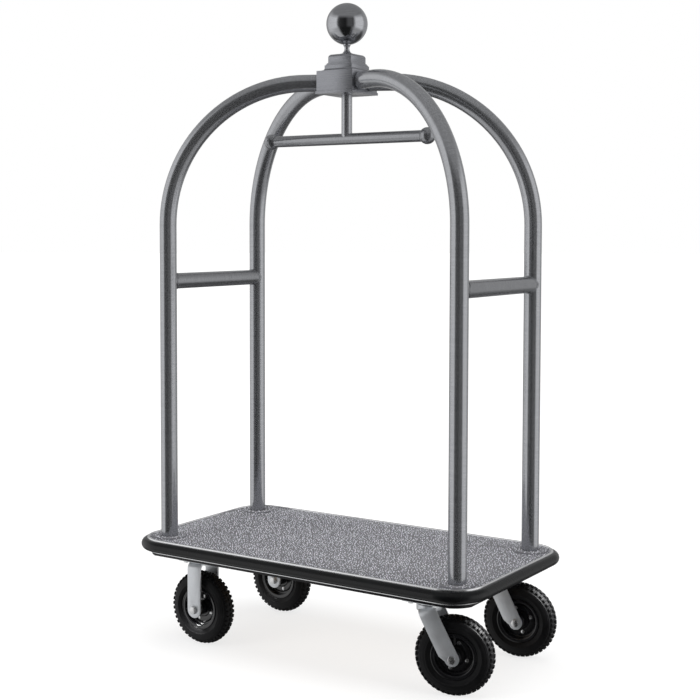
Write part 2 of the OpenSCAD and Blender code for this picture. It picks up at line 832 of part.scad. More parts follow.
module kingpins() {
    head_z = fork_top - race_hub_h - side_gap - kingpin_head_h;
    color("lightgray") for (y = [-1, 1]) translate([swivel_x, y * caster_y, 0]) {
        rod(kingpin_d, head_z, pad_bottom);
        rod(kingpin_head_d, head_z, head_z + kingpin_head_h);
    }
}

module swivel_balls() {
    color("lightgray") for (y = [-1, 1], i = [1:race_balls])
        translate([swivel_x, y * caster_y, plate_bottom - race_ball_d / 2])
            rotate([0, 0, i * 360 / race_balls]) translate([ball_race_r, 0, 0])
                sphere(d = race_ball_d);
}

// ---------- wheels ----------

// Spins a section about the axle, which lies along Y: x is the radius and y the place along it.
module spin() {
    rotate([-90, 0, 0]) rotate_extrude() children();
}

// A ring's section from radius r0 to r1 and from y0 to y1 along the axle.
module ring(r0, r1, y0, y1) {
    translate([r0, y0]) square([r1 - r0, y1 - y0]);
}

module tyre() {
    color("black") spin() difference() {
        union() {
            translate([tyre_ring_r, 0]) circle(d = tyre_w);
            ring(bead_r, tyre_ring_r, -bead_w / 2, bead_w / 2);
        }
        translate([tyre_ring_r, 0]) circle(d = tyre_w - 2 * tyre_t);
        ring(0, tyre_ring_r, -bead_w / 2 + bead_t, bead_w / 2 - bead_t);
        for (y = [-1, 1])
            ring(0, rim_flange_r + rim_lip_d / 2, y > 0 ? bead_w / 2 : -tyre_w,
                 y > 0 ? tyre_w : -bead_w / 2);
    }
}

// The inner tube fills the tyre, and its valve looks out through the outer rim half.
module inner_tube() {
    r = tyre_w / 2 - tyre_t - fit_gap;
    color("dimgray") difference() {
        union() {
            spin() translate([tyre_ring_r, 0]) circle(r);
            translate([0, -valve_y, 0]) rod(valve_d, valve_end_r, tyre_ring_r);
        }
        spin() translate([tyre_ring_r, 0]) circle(r - tube_skin);
        translate([0, -valve_y, 0]) rod(valve_d - 4, valve_end_r - eps, tyre_ring_r);
    }
}

// One pressed rim half, on the side where y is positive.
module rim_half() {
    y0 = rim_split / 2;
    spin() {
        ring(bearing_od / 2, bead_r, y0, y0 + rim_t);
        ring(bead_r - rim_t, bead_r, y0, bead_w / 2 + rim_t);
        ring(bead_r - rim_t, rim_flange_r, bead_w / 2, bead_w / 2 + rim_t);
        translate([rim_flange_r - rim_lip_d / 2 + 0.8, bead_w / 2 + rim_lip_d / 2]) circle(d = rim_lip_d);
        ring(bearing_od / 2, hub_r, y0, hub_w / 2);
    }
}

module rim_bolt_holes() {
    for (i = [1:rim_bolts]) rotate([0, i * 360 / rim_bolts + rim_bolt_phase, 0])
        translate([rim_bolt_r, 0, 0]) rod_y(rim_bolt_d + 2 * fit_gap, -hub_w, hub_w);
}

module rim_outer() {
    color("black") difference() {
        mirror([0, 1, 0]) rim_half();
        rim_bolt_holes();
        translate([0, -valve_y, 0]) rod(valve_d + 2 * fit_gap, valve_end_r, bead_r + eps);
    }
}

module rim_inner() {
    color("black") difference() {
        rim_half();
        rim_bolt_holes();
    }
}

module wheel_bolts() {
    face = rim_split / 2 + rim_t;
    color("lightgray") for (i = [1:rim_bolts])
        rotate([0, i * 360 / rim_bolts + rim_bolt_phase, 0]) translate([rim_bolt_r, 0, 0]) {
            rod_y(rim_bolt_d, -face - fit_gap, face + 6);
            rotate([90, 0, 0]) hex(rim_bolt_d, face, 4);
            rotate([-90, 0, 0]) hex(rim_bolt_d, face, 5);
        }
}

// Two ball bearings, shown with their rings and the sunk shield between them.
module bearings() {
    bore = axle_d / 2 + run_gap;
    od = bearing_od / 2;
    color("silver") for (side = [0, 180]) rotate([side, 0, 0]) spin() difference() {
        ring(bore, od, hub_w / 2 - bearing_w, hub_w / 2);
        ring(bore + 2.5, od - 2.5, hub_w / 2 - 0.8, hub_w / 2 + eps);
        ring(bore + 2.5, od - 2.5, hub_w / 2 - bearing_w - eps, hub_w / 2 - bearing_w + 0.8);
    }
}

// Places a wheel part; the outer side of each wheel faces away from the deck's centre line.
module at_wheel(left, side) {
    flip = side > 0 ? 180 : 0;
    if (left) translate([-rigid_x, side * caster_y, axle_z]) rotate([0, 0, flip]) children();
    else at_swivel(side) translate([trail, 0, axle_z]) rotate([0, 0, flip]) children();
}

module front_left_tyre() { at_wheel(true, -1) tyre(); }
module front_left_inner_tube() { at_wheel(true, -1) inner_tube(); }
module front_left_rim_outer() { at_wheel(true, -1) rim_outer(); }
module front_left_rim_inner() { at_wheel(true, -1) rim_inner(); }
module front_left_rim_bolts() { at_wheel(true, -1) wheel_bolts(); }
module front_left_bearings() { at_wheel(true, -1) bearings(); }
module rear_left_tyre() { at_wheel(true, 1) tyre(); }
module rear_left_inner_tube() { at_wheel(true, 1) inner_tube(); }
module rear_left_rim_outer() { at_wheel(true, 1) rim_outer(); }
module rear_left_rim_inner() { at_wheel(true, 1) rim_inner(); }
module rear_left_rim_bolts() { at_wheel(true, 1) wheel_bolts(); }
module rear_left_bearings() { at_wheel(true, 1) bearings(); }
module front_right_tyre() { at_wheel(false, -1) tyre(); }
module front_right_inner_tube() { at_wheel(false, -1) inner_tube(); }
module front_right_rim_outer() { at_wheel(false, -1) rim_outer(); }
module front_right_rim_inner() { at_wheel(false, -1) rim_inner(); }
module front_right_rim_bolts() { at_wheel(false, -1) wheel_bolts(); }
module front_right_bearings() { at_wheel(false, -1) bearings(); }
module rear_right_tyre() { at_wheel(false, 1) tyre(); }
module rear_right_inner_tube() { at_wheel(false, 1) inner_tube(); }
module rear_right_rim_outer() { at_wheel(false, 1) rim_outer(); }
module rear_right_rim_inner() { at_wheel(false, 1) rim_inner(); }
module rear_right_rim_bolts() { at_wheel(false, 1) wheel_bolts(); }
module rear_right_bearings() { at_wheel(false, 1) bearings(); }

// ---------- nodes ----------

deck_board();
deck_carpet();
edge_channel();
bumper();
underframe();
deck_screws();
post_flanges();
post_plugs();
post_bolts();
front_left_arch();
rear_left_arch();
front_right_arch();
rear_right_arch();
left_handrail();
right_handrail();
crown_block();
crown_base_plate();
crown_screws();
finial_base();
finial_stem();
finial_ball();
hanger_stem();
garment_bar();
garment_bar_balls();
caster_bolts();
front_left_fork();
rear_left_fork();
left_axle_bolts();
swivel_top_plates();
kingpins();
swivel_balls();
front_right_fork();
front_right_axle_bolt();
rear_right_fork();
rear_right_axle_bolt();
front_left_tyre();
front_left_inner_tube();
front_left_rim_outer();
front_left_rim_inner();
front_left_rim_bolts();
front_left_bearings();
rear_left_tyre();
rear_left_inner_tube();
rear_left_rim_outer();
rear_left_rim_inner();
rear_left_rim_bolts();
rear_left_bearings();
front_right_tyre();
front_right_inner_tube();
front_right_rim_outer();
front_right_rim_inner();
front_right_rim_bolts();
front_right_bearings();
rear_right_tyre();
rear_right_inner_tube();
rear_right_rim_outer();
rear_right_rim_inner();
rear_right_rim_bolts();
rear_right_bearings();
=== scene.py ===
"""Hotel luggage cart: the looks of every piece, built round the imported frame.

Lengths are metres. The floor is z = 0 under the middle of the deck, +X points to the swivel casters
and +Y runs across the deck to the rear posts. Sizes that the frame holds are read from it; the
dataclass fields below hold those of the details that only this script makes.
"""

from __future__ import annotations

import json
import logging
import math
from dataclasses import dataclass, field
from enum import Enum
from typing import Iterable, Sequence

import bmesh
import bpy
from bmesh.types import BMesh
from bpy.types import Material, Mesh, NodeSocket, Object
from mathutils import Matrix, Vector

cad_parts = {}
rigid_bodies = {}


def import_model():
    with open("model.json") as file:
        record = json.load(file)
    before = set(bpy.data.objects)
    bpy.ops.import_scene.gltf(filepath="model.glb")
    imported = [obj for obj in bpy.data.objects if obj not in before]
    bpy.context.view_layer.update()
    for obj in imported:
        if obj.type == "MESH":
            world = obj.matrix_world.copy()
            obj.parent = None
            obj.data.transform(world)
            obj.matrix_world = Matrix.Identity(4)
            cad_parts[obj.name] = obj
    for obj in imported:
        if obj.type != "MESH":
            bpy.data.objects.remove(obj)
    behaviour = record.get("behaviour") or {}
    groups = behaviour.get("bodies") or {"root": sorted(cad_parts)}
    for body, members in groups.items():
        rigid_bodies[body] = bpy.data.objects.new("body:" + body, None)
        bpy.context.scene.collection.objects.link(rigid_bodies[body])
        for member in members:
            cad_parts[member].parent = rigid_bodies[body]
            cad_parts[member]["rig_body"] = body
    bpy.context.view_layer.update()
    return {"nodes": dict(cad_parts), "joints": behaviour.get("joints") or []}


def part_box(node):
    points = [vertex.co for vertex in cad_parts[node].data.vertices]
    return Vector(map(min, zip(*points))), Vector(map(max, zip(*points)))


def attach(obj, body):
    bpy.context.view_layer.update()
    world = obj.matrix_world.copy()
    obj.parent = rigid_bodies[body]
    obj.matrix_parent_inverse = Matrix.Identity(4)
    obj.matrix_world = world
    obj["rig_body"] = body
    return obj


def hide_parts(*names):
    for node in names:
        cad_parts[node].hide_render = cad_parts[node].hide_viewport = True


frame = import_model()

Color = tuple[float, float, float]
Point = tuple[float, float]
log = logging.getLogger("luggage_cart")

MM = 0.001
FULL_TURN = 2.0 * math.pi
WHEELS = ("front_left", "rear_left", "front_right", "rear_right")


# ---------- node trees ----------


def shade(color: Color, factor: float) -> Color:
    """A colour made darker or lighter."""
    return tuple(min(1.0, channel * factor) for channel in color)


def greys(stops: Sequence[Point]) -> list[tuple[float, Color]]:
    """A ramp's stops in grey, from pairs of place and level."""
    return [(place, (level, level, level)) for place, level in stops]


class StepTree:
    """A node tree built in steps: a material's, the room's or a Geometry Nodes tree."""

    def __init__(self, tree: bpy.types.NodeTree) -> None:
        """Takes a tree and empties it."""
        self.tree = tree
        tree.nodes.clear()

    def add(self, kind: str, settings: dict[str, object] | None = None,
            **links: object) -> bpy.types.NodeOutputs:
        """Adds a node.

        Args:
            kind: the node's type.
            settings: properties of the node.
            links: sockets to link or values to set, by input name with _ for a space, or by index
                as i0, i1 and so on.

        Returns:
            The node's outputs.
        """
        node = self.tree.nodes.new(kind)
        for key, value in (settings or {}).items():
            setattr(node, key, value)
        for key, value in links.items():
            index = int(key[1:]) if key[0] == "i" and key[1:].isdigit() else key.replace("_", " ")
            if isinstance(value, NodeSocket):
                self.tree.links.new(value, node.inputs[index])
            else:
                node.inputs[index].default_value = value
        return node.outputs

    def math(self, operation: str, *values: object) -> NodeSocket:
        """One arithmetic step."""
        numbered = {f"i{index}": value for index, value in enumerate(values)}
        return self.add("ShaderNodeMath", {"operation": operation}, **numbered)[0]

    def ramp(self, value: NodeSocket, stops: Sequence[tuple[float, Color]]) -> NodeSocket:
        """Colours along a value from 0 to 1.

        Args:
            value: the value.
            stops: places along it, each with its colour.

        Returns:
            The colour.
        """
        color = self.add("ShaderNodeValToRGB", Fac=value)["Color"]
        elements = color.node.color_ramp.elements
        while len(elements) < len(stops):
            elements.new(0.5)
        for element, (place, tone) in zip(elements, stops):
            element.position = place
            element.color = (*tone, 1.0)
        return color


class Graph(StepTree):
    """A material's node tree, with one short method for each kind of node that the finishes share."""

    def __init__(self, name: str, **constants: object) -> None:
        """Makes the material and its Principled shader.

        Args:
            name: the material's name.
            constants: values for the shader's own sockets, with _ for each space in a socket's name.
        """
        self.material = bpy.data.materials.new(name)
        self.material.use_nodes = True
        super().__init__(self.material.node_tree)
        self.shader = self.tree.nodes.new("ShaderNodeBsdfPrincipled")
        self.add("ShaderNodeOutputMaterial", Surface=self.shader.outputs["BSDF"])
        self.place = self.add("ShaderNodeTexCoord")["Object"]
        for socket, value in constants.items():
            target = self.shader.inputs[socket.replace("_", " ")]
            target.default_value = (*value, 1.0) if isinstance(value, tuple) else value

    def drive(self, socket: str, value: NodeSocket) -> None:
        """Links a node's output to one of the shader's inputs."""
        self.tree.links.new(value, self.shader.inputs[socket])

    def scaled(self, *scale: float) -> NodeSocket:
        """Object coordinates, each times its own scale."""
        return self.add("ShaderNodeMapping", Vector=self.place, Scale=scale)["Vector"]

    def noise(self, vector: NodeSocket, scale: float, detail: float = 3.0,
              roughness: float = 0.5) -> NodeSocket:
        """The height of a noise, from 0 to 1 about 0.5."""
        return self.add("ShaderNodeTexNoise", Vector=vector, Scale=scale, Detail=detail,
                        Roughness=roughness)["Fac"]

    def span(self, value: NodeSocket, low: float, high: float, start: float = 0.3,
             end: float = 0.7) -> NodeSocket:
        """Maps start to end, the useful part of a noise, onto low to high, and holds it there."""
        return self.add("ShaderNodeMapRange", Value=value, From_Min=start, From_Max=end, To_Min=low,
                        To_Max=high)["Result"]

    def blend(self, *parts: tuple[NodeSocket, float]) -> NodeSocket:
        """The sum of values, each times its weight.

        Args:
            parts: each value with its weight.

        Returns:
            The sum.
        """
        total = 0.0
        for value, weight in parts:
            total = self.math("ADD", total, self.math("MULTIPLY", value, weight))
        return total

    def tint(self, value: NodeSocket, color: Color, *steps: Point) -> None:
        """Drives the base colour through darker and lighter tones of one colour.

        Args:
            value: what the tone follows.
            color: the colour.
            steps: places along the value, each with the colour's factor there.
        """
        stops = [(place, shade(color, factor)) for place, factor in steps]
        self.drive("Base Color", self.ramp(value, stops))

    def rough(self, value: NodeSocket, low: float, high: float) -> None:
        """Drives the roughness from low to high along a value."""
        self.drive("Roughness", self.span(value, low, high))

    def relief(self, height: NodeSocket, distance: float, strength: float) -> None:
        """Tilts the surface's normal by a height."""
        self.drive("Normal", self.add("ShaderNodeBump", Height=height, Distance=distance,
                                      Strength=strength)["Normal"])


# ---------- finishes ----------


class Along(Enum):
    """What the brush lines of a metal piece run round, or across."""

    X = "X"
    Y = "Y"
    Z = "Z"
    ARCH = "arch"


@dataclass(frozen=True)
class BrushedNickel:
    """Dark nickel plate over fine brush lines."""

    name: str
    along: Along
    color: Color = (0.45, 0.458, 0.48)
    low_rough: float = 0.15
    high_rough: float = 0.25
    lines: float = 330.0
    stretch: float = 0.0
    satin: float = 0.1
    waviness: float = 7.0
    bend_radius: float = 0.38959
    bend_start: float = 1.17641
    bend_reach: float = 0.1185

    def distance(self, graph: Graph) -> NodeSocket:
        """Distance along the tube: one coordinate, or height and then the way round an arch's bend.

        Args:
            graph: the material's tree.

        Returns:
            The distance.
        """
        place = graph.add("ShaderNodeSeparateXYZ", i0=graph.place)
        if self.along is not Along.ARCH:
            return place[self.along.value]
        square = graph.math("ADD", *(graph.math("MULTIPLY", place[axis], place[axis]) for axis in "XY"))
        out = graph.math("SUBTRACT", graph.math("SQRT", square), self.bend_reach)
        rise = graph.math("MAXIMUM", graph.math("SUBTRACT", place["Z"], self.bend_start), 0.0)
        below = graph.math("MINIMUM", place["Z"], self.bend_start)
        turned = graph.math("MULTIPLY", graph.math("ARCTAN2", rise, out), self.bend_radius)
        return graph.math("ADD", below, turned)

    def make(self) -> Material:
        """Builds the material.

        Returns:
            The material.
        """
        graph = Graph(self.name, Metallic=1.0 - self.satin, Anisotropic=self.stretch)
        drift = graph.noise(graph.place, scale=9.0, detail=1.0)
        brushed = graph.add("ShaderNodeCombineXYZ",
                            X=graph.math("MULTIPLY", self.distance(graph), self.lines),
                            Y=graph.math("MULTIPLY", drift, self.waviness))[0]
        streak = graph.noise(brushed, scale=1.0, detail=4.0, roughness=0.65)
        cloud = graph.noise(graph.place, scale=14.0, roughness=0.6)
        graph.tint(streak, self.color, (0.2, 0.84), (0.5, 1.0), (0.8, 1.17))
        graph.rough(graph.blend((streak, 0.8), (cloud, 0.2)), self.low_rough, self.high_rough)
        graph.relief(streak, distance=0.01 * MM, strength=0.2)
        return graph.material


@dataclass(frozen=True)
class ZincPlate:
    """Bright zinc over pressed or turned steel, slightly cloudy."""

    name: str
    color: Color = (0.68, 0.7, 0.725)
    low_rough: float = 0.36
    high_rough: float = 0.5
    grain: float = 420.0
    powder: float = 0.2

    def make(self) -> Material:
        """Builds the material.

        Returns:
            The material.
        """
        graph = Graph(self.name, Metallic=1.0 - self.powder)
        cloud = graph.noise(graph.place, scale=34.0, detail=5.0, roughness=0.62)
        fine = graph.noise(graph.scaled(1.0, 1.0, 3.0), self.grain, detail=4.0, roughness=0.6)
        mixed = graph.blend((cloud, 0.55), (fine, 0.45))
        graph.tint(mixed, self.color, (0.3, 0.9), (0.5, 1.0), (0.72, 1.08))
        graph.rough(mixed, self.low_rough, self.high_rough)
        graph.relief(fine, distance=0.03 * MM, strength=0.3)
        return graph.material


@dataclass(frozen=True)
class PolishedTrim:
    """Drawn and polished edge channel, with fine lines along the deck's edge."""

    name: str = "polished_trim"
    color: Color = (0.88, 0.885, 0.9)
    lines: float = 1500.0

    def make(self) -> Material:
        """Builds the material.

        Returns:
            The material.
        """
        graph = Graph(self.name, Metallic=1.0)
        drawn = graph.noise(graph.scaled(3.0, 3.0, self.lines), scale=1.0)
        cloud = graph.noise(graph.place, scale=22.0, detail=4.0)
        graph.tint(cloud, self.color, (0.3, 0.86), (0.7, 1.0))
        graph.rough(cloud, low=0.14, high=0.26)
        graph.relief(drawn, distance=0.02 * MM, strength=0.3)
        return graph.material


@dataclass(frozen=True)
class GlossCoat:
    """Black paint or rubber with a gloss skin over a faint texture."""

    name: str
    color: Color
    low_rough: float
    high_rough: float
    coat: float
    grain: float
    depth: float

    def make(self) -> Material:
        """Builds the material.

        Returns:
            The material.
        """
        graph = Graph(self.name, Coat_Weight=self.coat, Coat_Roughness=0.1, Specular_IOR_Level=0.22)
        cloud = graph.noise(graph.place, scale=17.0, detail=4.0, roughness=0.6)
        fine = graph.noise(graph.place, self.grain)
        graph.tint(cloud, self.color, (0.3, 0.7), (0.55, 1.0), (0.8, 1.5))
        graph.rough(cloud, self.low_rough, self.high_rough)
        graph.relief(fine, self.depth, strength=0.5)
        return graph.material


@dataclass(frozen=True)
class TreadRubber:
    """Matt black tyre rubber with a trace of dust."""

    name: str = "tread_rubber"
    color: Color = (0.0025, 0.0025, 0.003)
    dust: Color = (0.009, 0.009, 0.0095)
    grain: float = 900.0

    def make(self) -> Material:
        """Builds the material.

        Returns:
            The material.
        """
        graph = Graph(self.name, Specular_IOR_Level=0.22)
        cloud = graph.noise(graph.place, scale=26.0, detail=5.0, roughness=0.65)
        graph.drive("Base Color", graph.ramp(cloud, (
            (0.35, self.color), (0.6, shade(self.color, 1.4)), (0.85, self.dust))))
        graph.rough(cloud, low=0.42, high=0.62)
        graph.relief(graph.noise(graph.place, self.grain), distance=0.08 * MM, strength=0.5)
        return graph.material


@dataclass(frozen=True)
class LoopPile:
    """Mottled grey carpet yarn; each tuft carries its own shade."""

    name: str
    dark: Color = (0.27, 0.271, 0.293)
    middle: Color = (0.51, 0.514, 0.557)
    light: Color = (0.72, 0.725, 0.775)
    by_tuft: bool = True
    yarn: float = 1400.0

    def make(self) -> Material:
        """Builds the material.

        Returns:
            The material.
        """
        graph = Graph(self.name, Specular_IOR_Level=0.15, Sheen_Weight=0.25, Sheen_Roughness=0.5)
        fleck = graph.noise(graph.place, scale=190.0, detail=2.0, roughness=0.6)
        drift = graph.noise(graph.place, scale=5.0, detail=2.0)
        if self.by_tuft:
            own = graph.add("ShaderNodeAttribute", {"attribute_name": "shade"})["Fac"]
        else:
            own = graph.noise(graph.place, scale=330.0, detail=1.0)
        mixed = graph.blend((own, 0.8), (fleck, 0.14), (drift, 0.08))
        graph.drive("Base Color", graph.ramp(mixed, (
            (0.12, self.dark), (0.36, self.middle), (0.68, shade(self.middle, 1.25)), (0.9, self.light))))
        graph.rough(fleck, low=0.82, high=0.98)
        strands = graph.noise(graph.scaled(1.0, 1.0, 2.5), self.yarn, detail=2.0)
        graph.relief(strands, distance=0.3 * MM, strength=0.6)
        return graph.material


@dataclass(frozen=True)
class Plywood:
    """Birch plywood: long grain on the faces and thin plies on the edges."""

    name: str = "plywood"
    pale: Color = (0.52, 0.38, 0.23)
    dark: Color = (0.3, 0.19, 0.1)
    ply: float = 2.8 * MM

    def make(self) -> Material:
        """Builds the material.

        Returns:
            The material.
        """
        graph = Graph(self.name, Specular_IOR_Level=0.3)
        grain = graph.add("ShaderNodeTexWave", Vector=graph.scaled(0.35, 9.0, 1.0), Scale=3.0,
                          Distortion=6.0, Detail=3.0)["Fac"]
        pores = graph.noise(graph.scaled(14.0, 900.0, 60.0), scale=1.0)
        plies = graph.noise(graph.scaled(1.0, 1.0, 1.0 / self.ply), scale=1.0, detail=0.0)
        mixed = graph.blend((grain, 0.4), (pores, 0.35), (plies, 0.25))
        graph.drive("Base Color", graph.ramp(mixed, ((0.3, self.dark), (0.62, self.pale))))
        graph.rough(pores, low=0.5, high=0.75)
        graph.relief(pores, distance=0.1 * MM, strength=0.5)
        return graph.material


class Finishes:
    """Every material of the cart, made once."""

    def __init__(self) -> None:
        """Builds the materials."""
        # The nickel pieces below take different tones of the one plating, with the crown, the bar and the
        # rails the darkest: painted shade, each tone set to how dark that part looks under this light.
        self.arch = BrushedNickel("nickel_arch", Along.ARCH, (0.395, 0.402, 0.421)).make()
        self.tube_x = BrushedNickel("nickel_bar", Along.X, (0.32, 0.326, 0.342)).make()
        self.tube_y = BrushedNickel("nickel_rail", Along.Y, (0.33, 0.336, 0.352)).make()
        self.tube_z = BrushedNickel("nickel_turned", Along.Z, low_rough=0.18, high_rough=0.3).make()
        self.crown = BrushedNickel("nickel_crown", Along.Z, (0.3, 0.306, 0.33), low_rough=0.24,
                                   high_rough=0.34, lines=430.0).make()
        self.ball = BrushedNickel("nickel_ball", Along.Z, low_rough=0.1, high_rough=0.16, lines=300.0,
                                  stretch=0.5, satin=0.0).make()
        self.trim = PolishedTrim().make()
        self.zinc = ZincPlate("zinc_plate").make()
        self.bolt = ZincPlate("zinc_bolt", (0.7, 0.705, 0.71), low_rough=0.2, high_rough=0.34,
                              powder=0.02).make()
        self.steel = ZincPlate("bearing_steel", (0.56, 0.57, 0.59), low_rough=0.12, high_rough=0.26,
                               grain=700.0, powder=0.0).make()
        self.bumper = GlossCoat("bumper_rubber", (0.003, 0.0033, 0.0038), low_rough=0.22,
                                high_rough=0.34, coat=0.2, grain=1100.0, depth=0.02 * MM).make()
        self.frame = GlossCoat("frame_paint", (0.006, 0.006, 0.007), low_rough=0.34, high_rough=0.5,
                               coat=0.1, grain=700.0, depth=0.05 * MM).make()
        self.rim = GlossCoat("rim_paint", (0.005, 0.005, 0.006), low_rough=0.16, high_rough=0.26,
                             coat=1.0, grain=600.0, depth=0.02 * MM).make()
        self.inner_rubber = GlossCoat("inner_rubber", (0.03, 0.03, 0.031), low_rough=0.5,
                                      high_rough=0.7, coat=0.0, grain=900.0, depth=0.05 * MM).make()
        self.tyre = TreadRubber().make()
        self.pile = LoopPile("carpet_tufts").make()
        self.backing = LoopPile("carpet_ground", (0.03, 0.03, 0.035), (0.09, 0.09, 0.1),
                                (0.16, 0.16, 0.18), by_tuft=False).make()
        self.plywood = Plywood().make()


# ---------- mesh tools ----------


def add_piece(name: str, mesh: Mesh, material: Material, body: str,
              replaces: Iterable[str] = ()) -> Object:
    """Puts a finished mesh in the scene as a piece that rides on a body.

    Args:
        name: the piece's name.
        mesh: its mesh, in the row frame.
        material: its one material.
        body: the CAD body that it moves with.
        replaces: the CAD nodes that it stands for.

    Returns:
        The new object, at the origin.
    """
    piece = bpy.data.objects.new(name, mesh)
    bpy.context.scene.collection.objects.link(piece)
    mesh.materials.clear()
    mesh.materials.append(material)
    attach(piece, body)
    nodes = list(replaces)
    if nodes:
        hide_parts(*nodes)
    log.info("%s: %d faces on %s", name, len(mesh.polygons), body)
    return piece


def dress(material: Material, *nodes: str) -> None:
    """Gives CAD nodes, whose shapes stay, their one material.

    Args:
        material: the material.
        nodes: the nodes' names.
    """
    for node in nodes:
        mesh = frame["nodes"][node].data
        mesh.materials.clear()
        mesh.materials.append(material)


def finish_mesh(name: str, shape: BMesh, smooth_deg: float = 35.0,
                merge: float = 0.01 * MM) -> Mesh:
    """Turns a bmesh into a mesh with merged points, outward faces and sharp edges.

    Args:
        name: the mesh's name.
        shape: the bmesh, which is freed.
        smooth_deg: edges above this angle stay sharp.
        merge: points nearer than this become one.

    Returns:
        The mesh.
    """
    bmesh.ops.remove_doubles(shape, verts=shape.verts, dist=merge)
    bmesh.ops.recalc_face_normals(shape, faces=shape.faces)
    mesh = bpy.data.meshes.new(name)
    shape.to_mesh(mesh)
    shape.free()
    mesh.polygons.foreach_set("use_smooth", [True] * len(mesh.polygons))
    mesh.set_sharp_from_angle(angle=math.radians(smooth_deg))
    return mesh


def seed_object(name: str, shape: BMesh, smooth_deg: float) -> Object:
    """An object outside the scene that Geometry Nodes copy."""
    return bpy.data.objects.new(name, finish_mesh(name, shape, smooth_deg))


def join_rings(shape: BMesh, rings: Sequence[Sequence[bmesh.types.BMVert]]) -> None:
    """Skins closed rings of points, the last joined to the first.

    Args:
        shape: the bmesh that holds the points.
        rings: the rings, all with as many points.
    """
    for here, there in zip(rings, [*rings[1:], rings[0]]):
        for k in range(len(here)):
            after = (k + 1) % len(here)
            shape.faces.new((here[k], here[after], there[after], there[k]))


def lathe(shape: BMesh, outline: Sequence[Point], steps: int) -> None:
    """Spins a closed outline of (radius, place along the axis) about the Y axis.

    Args:
        shape: the bmesh that takes the ring.
        outline: the closed outline, with no radius of zero.
        steps: how many sections go round.
    """
    rings = []
    for step in range(steps):
        angle = FULL_TURN * step / steps
        rings.append([shape.verts.new((r * math.cos(angle), y, r * math.sin(angle))) for r, y in outline])
    join_rings(shape, rings)


def rounded(points: Sequence[Point], radii: Sequence[float], arc_steps: int = 5) -> list[Point]:
    """An open line of points with its inner corners rounded.

    Args:
        points: the line's corners.
        radii: the radius at each inner corner.
        arc_steps: how many pieces each round corner has.

    Returns:
        The line, with arcs in place of its corners.
    """
    line = [points[0]]
    for before, corner, after, radius in zip(points, points[1:], points[2:], radii):
        a = (Vector(before) - Vector(corner)).normalized()
        b = (Vector(after) - Vector(corner)).normalized()
        half = a.angle(b) / 2.0
        back = radius / math.tan(half)
        centre = Vector(corner) + (a + b).normalized() * (radius / math.sin(half))
        start, end = Vector(corner) + a * back - centre, Vector(corner) + b * back - centre
        for k in range(arc_steps + 1):
            line.append(tuple(centre + start.slerp(end, k / arc_steps) * radius))
    line.append(points[-1])
    return line


def thickened(line: Sequence[Point], thickness: float) -> list[Point]:
    """A closed outline of even thickness round an open line.

    Args:
        line: the line's points.
        thickness: how thick the outline is, half on each side.

    Returns:
        The outline's points.
    """
    left, right = [], []
    for k, point in enumerate(line):
        ahead = Vector(line[min(k + 1, len(line) - 1)]) - Vector(line[max(k - 1, 0)])
        side = Vector((-ahead.y, ahead.x)).normalized() * (thickness / 2.0)
        left.append(tuple(Vector(point) + side))
        right.append(tuple(Vector(point) - side))
    return left + right[::-1]


def softened(node: str, name: str, material: Material, width: float,
             angle_deg: float = 50.0) -> Object:
    """A copy of a CAD node with its sharp edges broken, which replaces the node.

    Args:
        node: the CAD node.
        name: the new piece's name.
        material: its material.
        width: the width of the broken edge.
        angle_deg: edges sharper than this are broken.

    Returns:
        The new piece.
    """
    source = frame["nodes"][node]
    shape = bmesh.new()
    shape.from_mesh(source.data)
    bmesh.ops.remove_doubles(shape, verts=shape.verts, dist=0.02 * MM)
    bmesh.ops.dissolve_limit(shape, angle_limit=math.radians(1.0), verts=shape.verts, edges=shape.edges)
    sharp = [edge for edge in shape.edges
             if len(edge.link_faces) == 2 and edge.calc_face_angle(0.0) > math.radians(angle_deg)]
    bmesh.ops.bevel(shape, geom=sharp, offset=width, offset_type="OFFSET", segments=2, profile=0.5,
                    affect="EDGES", clamp_overlap=True)
    bmesh.ops.triangulate(shape, faces=[face for face in shape.faces if len(face.verts) > 4])
    mesh = finish_mesh(name, shape, smooth_deg=30.0, merge=0.001 * MM)
    return add_piece(name, mesh, material, source["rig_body"], [node])


class NodesTool(StepTree):
    """A Geometry Nodes tree with named inputs for its sizes."""

    def __init__(self, name: str, inputs: dict[str, object]) -> None:
        """Makes the tree.

        Args:
            name: the tree's name.
            inputs: each input's name and value; an object gives an object socket, a material a
                material socket, a whole number an integer and any other number a length.
        """
        super().__init__(bpy.data.node_groups.new(name, "GeometryNodeTree"))
        self.values = inputs
        kinds = {Object: "Object", Material: "Material", int: "Int", float: "Float"}
        for way in ("INPUT", "OUTPUT"):
            self.tree.interface.new_socket("Geometry", in_out=way, socket_type="NodeSocketGeometry")
        for label, value in inputs.items():
            kind = next(kind for sort, kind in kinds.items() if isinstance(value, sort))
            self.tree.interface.new_socket(label, in_out="INPUT", socket_type="NodeSocket" + kind)
        self.pins = self.add("NodeGroupInput")

    def run(self, geometry: NodeSocket, base: Mesh, name: str) -> Mesh:
        """Ends the tree with Realize Instances and Set Material, and runs it.

        Args:
            geometry: what the tree has made.
            base: the mesh that it runs over.
            name: the new mesh's name.

        Returns:
            The result as a plain mesh.
        """
        real = self.add("GeometryNodeRealizeInstances", Geometry=geometry)[0]
        done = self.add("GeometryNodeSetMaterial", Geometry=real, Material=self.pins["Material"])[0]
        self.add("NodeGroupOutput", Geometry=done)
        holder = bpy.data.objects.new(name + "_holder", base)
        bpy.context.scene.collection.objects.link(holder)
        modifier = holder.modifiers.new(name, "NODES")
        modifier.node_group = self.tree
        for item in self.tree.interface.items_tree:
            if item.in_out == "INPUT" and item.name in self.values:
                modifier[item.identifier] = self.values[item.name]
        evaluated = holder.evaluated_get(bpy.context.evaluated_depsgraph_get())
        mesh = bpy.data.meshes.new_from_object(evaluated)
        mesh.name = name
        holder.modifiers.clear()
        bpy.data.objects.remove(holder)
        return mesh


# ---------- studio ----------


